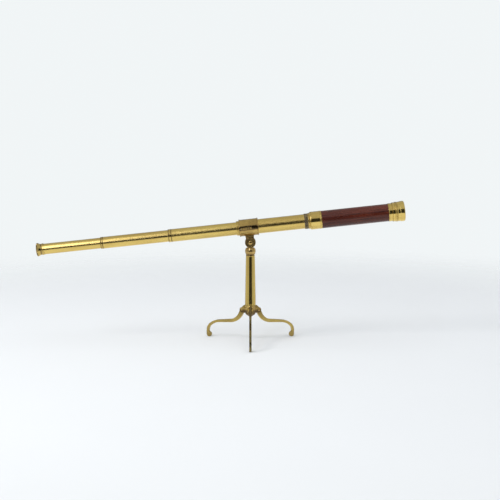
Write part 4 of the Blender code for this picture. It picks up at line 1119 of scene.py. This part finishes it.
def make_pillar():
    base = HUB_TOP + GAP
    spigot_low = HUB_BOTTOM + HUB_FLOOR + GAP
    lower_hole_end = HUB_BOTTOM + 22.0
    upper_hole_end = PILLAR_TOP - 22.0
    outline = [
        (lower_hole_end, 0), (lower_hole_end, TAPPED_RADIUS), (spigot_low, TAPPED_RADIUS, 0.2),
        (spigot_low, SPIGOT_RADIUS, 0.2), (base, SPIGOT_RADIUS), (base, PILLAR_BASE_RADIUS - 0.05, 0.3),
    ]
    outline += [(base + 1.9, PILLAR_BASE_RADIUS - 0.05, 0.2), (base + 2.4, PILLAR_BASE_RADIUS - 0.5, 0.15)]
    outline += [(base + 3.0, PILLAR_BASE_RADIUS - 0.1, 0.15)]
    outline += [
        (PILLAR_TOP - 2.6, PILLAR_TOP_RADIUS, 0.15), (PILLAR_TOP - 2.1, PILLAR_TOP_RADIUS - 0.35, 0.1),
        (PILLAR_TOP - 1.6, PILLAR_TOP_RADIUS, 0.15), (PILLAR_TOP, PILLAR_TOP_RADIUS - 0.1, 0.5),
        (PILLAR_TOP, TAPPED_RADIUS, 0.1), (upper_hole_end, TAPPED_RADIUS), (upper_hole_end, 0),
    ]
    piece("pillar", turned(outline, axis="Z", segments=FINE, closed=False), pillar_brass, STAND_FRAME)
    seat = PIVOT_HEIGHT - DISC_RADIUS - 4.8 + CLOSE_GAP
    shank = TAPPED_RADIUS - 0.25
    screw = [
        (PILLAR_TOP - 20.0, 0), (PILLAR_TOP - 20.0, shank, 0.5), (seat, shank), (seat, 4.3, 0.1),
        (seat + 2.4, 4.3, 0.8), (seat + 3.0, 3.0, 0.8), (seat + 3.0, 0),
    ]
    screw = screw_of(screw, (-6, -0.5, seat + 1.8), (6, 0.5, seat + 5.0), axis="Z")
    piece("head_screw", screw, dull_steel, STAND_FRAME, weighted=True)
    washer = ring(PILLAR_TOP + CLOSE_GAP, PILLAR_TOP + 1.3, TAPPED_RADIUS, PILLAR_TOP_RADIUS - 1.2, 0.2,
                  axis="Z")
    piece("head_washer", washer, dark_leather, STAND_FRAME)


def turn_to_leg(bm, side):
    turn = Matrix.Rotation(math.radians(LEG_ANGLES[side]), 3, "Z")
    bmesh.ops.rotate(bm, verts=bm.verts, cent=(0, 0, 0), matrix=turn)
    return bm


def make_hub():
    """The turned hub with three pairs of ears, slotted for the legs."""
    flange_low = HUB_TOP - HUB_FLANGE_HEIGHT
    floor_height = HUB_BOTTOM + HUB_FLOOR
    core = [(HUB_BOTTOM, TAPPED_RADIUS, 0.1), (HUB_BOTTOM, 6.2, 0.4)]
    core += arc((HUB_BOTTOM + 7.4, 4.6), 7.0, 172, 92, 12)
    core += [(flange_low - 1.3, HUB_CORE_RADIUS, 0.5), (flange_low - 0.2, HUB_FLANGE_RADIUS - 0.4, 0.3)]
    core += bead(flange_low, HUB_TOP - 0.2, HUB_FLANGE_RADIUS - 0.7, HUB_FLANGE_RADIUS)
    core += [
        (HUB_TOP, HUB_FLANGE_RADIUS - 0.8, 0.1), (HUB_TOP, SPIGOT_RADIUS + CLOSE_GAP, 0.1),
        (floor_height, SPIGOT_RADIUS + CLOSE_GAP), (floor_height, TAPPED_RADIUS),
    ]
    root = HUB_SLOT_FLOOR + 1.2
    slot_half = LEG_WIDTH / 2 + GAP
    added = []
    removed = []
    for side in LEG_ANGLES:
        ears = arc(LEG_PIN, EAR_RADIUS, 90, -90, 28)
        ears += [(root, LEG_PIN.y - EAR_RADIUS), (root, LEG_PIN.y + EAR_RADIUS)]
        added.append(("UNION", turn_to_leg(plate(ears, EAR_SIDE, 0.7), side)))
        low = (HUB_SLOT_FLOOR, -slot_half, HUB_BOTTOM - 5.0)
        high = (LEG_PIN.x + 15.0, slot_half, flange_low - 0.6)
        removed.append(("DIFFERENCE", turn_to_leg(block(low, high), side)))
        hole = drill(-9.0, 9.0, LEG_PIN_RADIUS + CLOSE_GAP, "Y", (LEG_PIN.x, 0, LEG_PIN.y))
        removed.append(("DIFFERENCE", turn_to_leg(hole, side)))
    hub = carved(turned(core, axis="Z", segments=ROUND, phase=HOLE_PHASE), *added, *removed)
    piece("hub", hub, hub_brass, STAND_FRAME, weighted=True)
    screw = dome(HUB_BOTTOM - GAP, 2.0, 5.0)
    screw += [(HUB_BOTTOM - GAP, 2.5), (HUB_BOTTOM + 20.0, 2.5, 0.5), (HUB_BOTTOM + 20.0, 0)]
    screw = screw_of(screw, (-7, -0.5, HUB_BOTTOM - 5.0), (7, 0.5, HUB_BOTTOM - 1.3), axis="Z")
    piece("hub_screw", screw, screw_brass, STAND_FRAME, weighted=True)


def heading_of(degrees):
    """The direction of that heading, in the plane of a leg."""
    return Vector((math.cos(math.radians(degrees)), math.sin(math.radians(degrees))))


def leg_path():
    """The middle line of a leg, as (point, heading in degrees, thickness), from its pin to its toe."""
    point = LEG_PIN.copy()
    heading = LEG_TOP_HEADING
    path = []

    def straight(length, end_thickness, shares):
        nonlocal point
        start = point
        start_thickness = path[-1][2] if path else LEG_TOP_THICKNESS
        for share in shares:
            point = start + length * share * heading_of(heading)
            path.append((point, heading, start_thickness + (end_thickness - start_thickness) * share))

    def bend(radius, end_heading, end_thickness, steps):
        nonlocal point, heading
        start_heading = heading
        start_thickness = path[-1][2]
        side = 1 if end_heading > start_heading else -1
        centre = point + side * radius * heading_of(heading + 90)
        for step in range(1, steps + 1):
            part = step / steps
            heading = start_heading + (end_heading - start_heading) * part
            point = centre - side * radius * heading_of(heading + 90)
            path.append((point, heading, start_thickness + (end_thickness - start_thickness) * part))

    straight(LEG_TOP_LENGTH, LEG_BEND_THICKNESS, (0.0, 0.35, 0.7, 1.0))
    bend(LEG_TOP_BEND, LEG_RUN_HEADING, LEG_RUN_THICKNESS, 22)
    toe_line = FOOT_CIRCLE + TOE_RADIUS - LEG_END_THICKNESS / 2
    fall = heading_of(LEG_DROP_HEADING).y
    bends = LEG_OUTER_BEND * (heading_of(LEG_RUN_HEADING).y - fall) + LEG_TOE_BEND * (1 + fall)
    run = (toe_line - bends - point.x) / heading_of(LEG_RUN_HEADING).x
    straight(run, LEG_END_THICKNESS, (0.25, 0.5, 0.75, 1.0))
    bend(LEG_OUTER_BEND, LEG_DROP_HEADING, LEG_END_THICKNESS, 14)
    bend(LEG_TOE_BEND, -90.0, LEG_END_THICKNESS, 14)
    return path


def leg_outline():
    """The side view of a leg, in the plane of its radius and its height."""
    outer = []
    inner = []
    for point, heading, thickness in leg_path():
        half = heading_of(heading + 90) * thickness / 2
        outer.append(tuple(point + half))
        inner.append(tuple(point - half))
    flat = math.degrees(math.asin(TOE_FLAT / TOE_RADIUS))
    toe_centre = (FOOT_CIRCLE, TOE_HEIGHT)
    toe = arc(toe_centre, TOE_RADIUS, 0, -90 + flat, 14) + arc(toe_centre, TOE_RADIUS, -90 - flat, -262, 30)
    horn_low = HUB_FLANGE_RADIUS + GAP
    horn_top = HUB_TOP - 1.2
    horn = [(horn_low, horn_top - 0.5), (horn_low + 0.5, horn_top), (horn_low + 2.6, horn_top)]
    return horn + outer + toe + inner[::-1]


def make_leg(side):
    """A leg with eased edges, and a shallow turned eye on each face of its toe."""
    leg = eased(plate(leg_outline(), LEG_WIDTH / 2), 1.0, 50.0, 4)
    hole = drill(-LEG_WIDTH, LEG_WIDTH, LEG_PIN_RADIUS + CLOSE_GAP, "Y", (LEG_PIN.x, 0, LEG_PIN.y))
    steps = [("DIFFERENCE", hole)]
    inmost = LEG_WIDTH / 2 - 0.351
    outmost = LEG_WIDTH / 2 + 0.301
    for low, high in ((-outmost, -inmost), (inmost, outmost)):
        groove = ring(low, high, 2.3, 3.1, 0.0, axis="Y", centre=(FOOT_CIRCLE, 0, TOE_HEIGHT),
                      segments=SMALL_ROUND)
        steps.append(("DIFFERENCE", groove))
    leg = turn_to_leg(carved(leg, *steps), side)
    # The front leg takes the darker copy of the legs' brass, as painted shade.
    finish = front_leg_shaded_brass if side == "front" else leg_brass
    piece(f"leg_{side}", leg, finish, STAND_FRAME, weighted=True)

    head = 1.1
    base = -EAR_SIDE - GAP
    outline = dome(base, head, 2.6, 10)
    outline += [(base, LEG_PIN_RADIUS), (EAR_SIDE + head, LEG_PIN_RADIUS, 0.4), (EAR_SIDE + head, 0)]
    low = (LEG_PIN.x - 4, base - 3.0, LEG_PIN.y - 0.3)
    high = (LEG_PIN.x + 4, base - 0.5, LEG_PIN.y + 0.3)
    pin = screw_of(outline, low, high, axis="Y", centre=(LEG_PIN.x, 0, LEG_PIN.y), segments=SMALL_ROUND)
    piece(f"leg_pin_{side}", turn_to_leg(pin, side), screw_brass, STAND_FRAME, weighted=True)


# The setting: a pale floor that fades into the studio's backdrop, soft light and the camera.

BACKDROP = (0.880, 0.915, 0.925)
FLOOR_TONES = (0.845, 0.862, 0.868), (0.865, 0.882, 0.888)

# The studio's walls: the angles, in degrees, at which a part of them starts, is full, is still full and ends,
# sideways from the middle and above the horizon, and then how dark it is.
OPENING = (-37, -27, 33, 43), (-18, -14, 24, 36), 0.935
CURTAIN = (-34, -24, 20, 30), (-16, -11, 17, 29), 0.85
# The window stands square to the telescope, at these cosines to its axis.
WINDOW = (-0.36, -0.26, -0.20, -0.155), (9, 17, 42, 80), 5.0
WALL_TINT = (0.97, 0.99, 1.0)
WINDOW_TINT = (0.93, 0.965, 1.22)

# Places in metres from the foot of the pillar, power in watts, size in metres and colour.
LIGHTS = {
    "key": ((-2.1, -1.3, 2.1), 34.0, 1.2, (1.0, 0.99, 0.97)),
    "overhead": ((0.2, -0.3, 2.6), 16.5, 2.4, (0.97, 0.99, 1.0)),
}
LIGHTS_AIM = 0.15

# The camera, in metres from the foot of the pillar, with its lens in millimetres and its pitch in degrees.
CAMERA_PLACE = (-0.00084, -2.43716, 0.53186)
CAMERA_LENS = 78.83
CAMERA_SENSOR = 36.0
CAMERA_PITCH = 7.556


def make_floor():
    """A pale disc under the stand that fades out towards its rim, sooner in the brass's reflections."""
    bm = bmesh.new()
    bmesh.ops.create_circle(bm, cap_ends=True, segments=128, radius=4.0)
    mesh = bpy.data.meshes.new("studio_floor")
    bm.to_mesh(mesh)
    bm.free()
    made, tree, shader = new_material("studio_floor")
    place = add_node(tree, "TexCoord").outputs["Object"]
    reach = add_node(tree, "VectorMath", {0: place}, operation="LENGTH").outputs["Value"]
    mirrored = add_node(tree, "LightPath").outputs["Is Glossy Ray"]
    wide = ramp(reach, 0.75, 1.7, 1.0, 0.0)
    near = ramp(reach, 0.16, 0.30, 1.0, 0.0)
    extent = add_node(tree, "Mix", {"Factor": mirrored, "A": wide, "B": near}, data_type="FLOAT")
    feed(shader, {"Base Color": mix(noise(place, 3.0, 2.0), *FLOOR_TONES), "Roughness": 0.9,
                  "Specular IOR Level": 0.1, "Alpha": extent.outputs["Result"]})
    mesh.materials.append(made)
    floor = bpy.data.objects.new("studio_floor", mesh)
    floor.location = (pivot.x, pivot.y, -0.0002)
    bpy.context.scene.collection.objects.link(floor)


def sine(degrees):
    return math.sin(math.radians(degrees))


def between(value, starts, full, still_full, ends):
    return times(ramp(value, starts, full), ramp(value, ends, still_full))


def make_studio():
    """Pale walls all round, with a dark opening behind the camera, a dark curtain opposite it and a bright
    window beside the opening."""
    world = bpy.data.worlds.new("studio")
    bpy.context.scene.world = world
    world.use_nodes = True
    tree = world.node_tree
    direction = add_node(tree, "TexCoord").outputs["Generated"]
    axial = add_node(tree, "VectorMath", {0: direction, 1: tuple(along)}, operation="DOT_PRODUCT")
    parts = add_node(tree, "SeparateXYZ", {0: direction})
    x, y, z = (parts.outputs[letter] for letter in "XYZ")
    level = most(maths("SQRT", plus(times(x, x), times(y, y))), 0.001)
    facing = over(times(y, -1.0), level)
    side = over(x, level)

    def patch(sideways, upward_angles, depth, faces):
        """Part of a wall, from 0 to its depth."""
        wide = between(side, *(sine(angle) for angle in sideways))
        high = between(z, *(sine(angle) for angle in upward_angles))
        return times(times(times(wide, high), ramp(facing, *faces)), depth)

    behind = ramp(facing, -0.5, 0.5)
    near_wall = ramp(z, sine(20), sine(80), 0.58, 0.64)
    far_wall = ramp(z, sine(5), sine(40), 0.74, 0.56)
    walls = plus(times(behind, near_wall), times(minus(1.0, behind), far_wall))
    light = most(walls, ramp(z, sine(-19), sine(-13), 1.0, 0.0))
    light = times(light, minus(1.0, patch(*OPENING, (0.0, 0.3))))
    light = times(light, minus(1.0, patch(*CURTAIN, (-0.3, -0.6))))
    cosines, heights, strength = WINDOW
    window = times(between(axial.outputs["Value"], *cosines), between(z, *(sine(angle) for angle in heights)))
    window = times(window, ramp(facing, 0.2, 0.5))
    light = plus(light, times(window, strength))
    seen = add_node(tree, "LightPath").outputs["Is Camera Ray"]
    room = add_node(tree, "Background", {"Color": mix(window, WALL_TINT, WINDOW_TINT), "Strength": light})
    plain = add_node(tree, "Background", {"Color": BACKDROP, "Strength": 1.0})
    both = add_node(tree, "MixShader", {0: seen, 1: room.outputs[0], 2: plain.outputs[0]})
    feed(tree.nodes["World Output"], {"Surface": both.outputs[0]})


def make_light(name, place, power, size, colour):
    """A soft lamp that isn't mirrored in the brass, which mirrors the studio's walls alone."""
    data = bpy.data.lights.new(name, "AREA")
    data.shape = "DISK"
    data.size = size
    data.energy = power
    data.color = colour
    light = bpy.data.objects.new(name, data)
    bpy.context.scene.collection.objects.link(light)
    light.location = Vector(place) + Vector((pivot.x, pivot.y, 0.0))
    target = Vector((pivot.x, pivot.y, LIGHTS_AIM))
    light.rotation_euler = (target - light.location).to_track_quat("-Z", "Y").to_euler()
    light.visible_glossy = False


def make_camera():
    """A long lens somewhat above the telescope, looking slightly down."""
    data = bpy.data.cameras.new("camera")
    data.lens = CAMERA_LENS
    data.sensor_width = CAMERA_SENSOR
    data.clip_end = 50.0
    camera = bpy.data.objects.new("camera", data)
    camera.location = Vector(CAMERA_PLACE) + Vector((pivot.x, pivot.y, 0.0))
    camera.rotation_euler = (math.radians(90 - CAMERA_PITCH), 0.0, 0.0)
    bpy.context.scene.collection.objects.link(camera)
    bpy.context.scene.camera = camera


make_camera()
make_telescope()
make_clamp()
make_thumb_screw()
make_joint()
make_pillar()
make_hub()
for leg_side in LEG_ANGLES:
    make_leg(leg_side)
make_floor()
make_studio()
for light_name, settings in LIGHTS.items():
    make_light(light_name, *settings)
bpy.context.scene.view_settings.view_transform = "Standard"
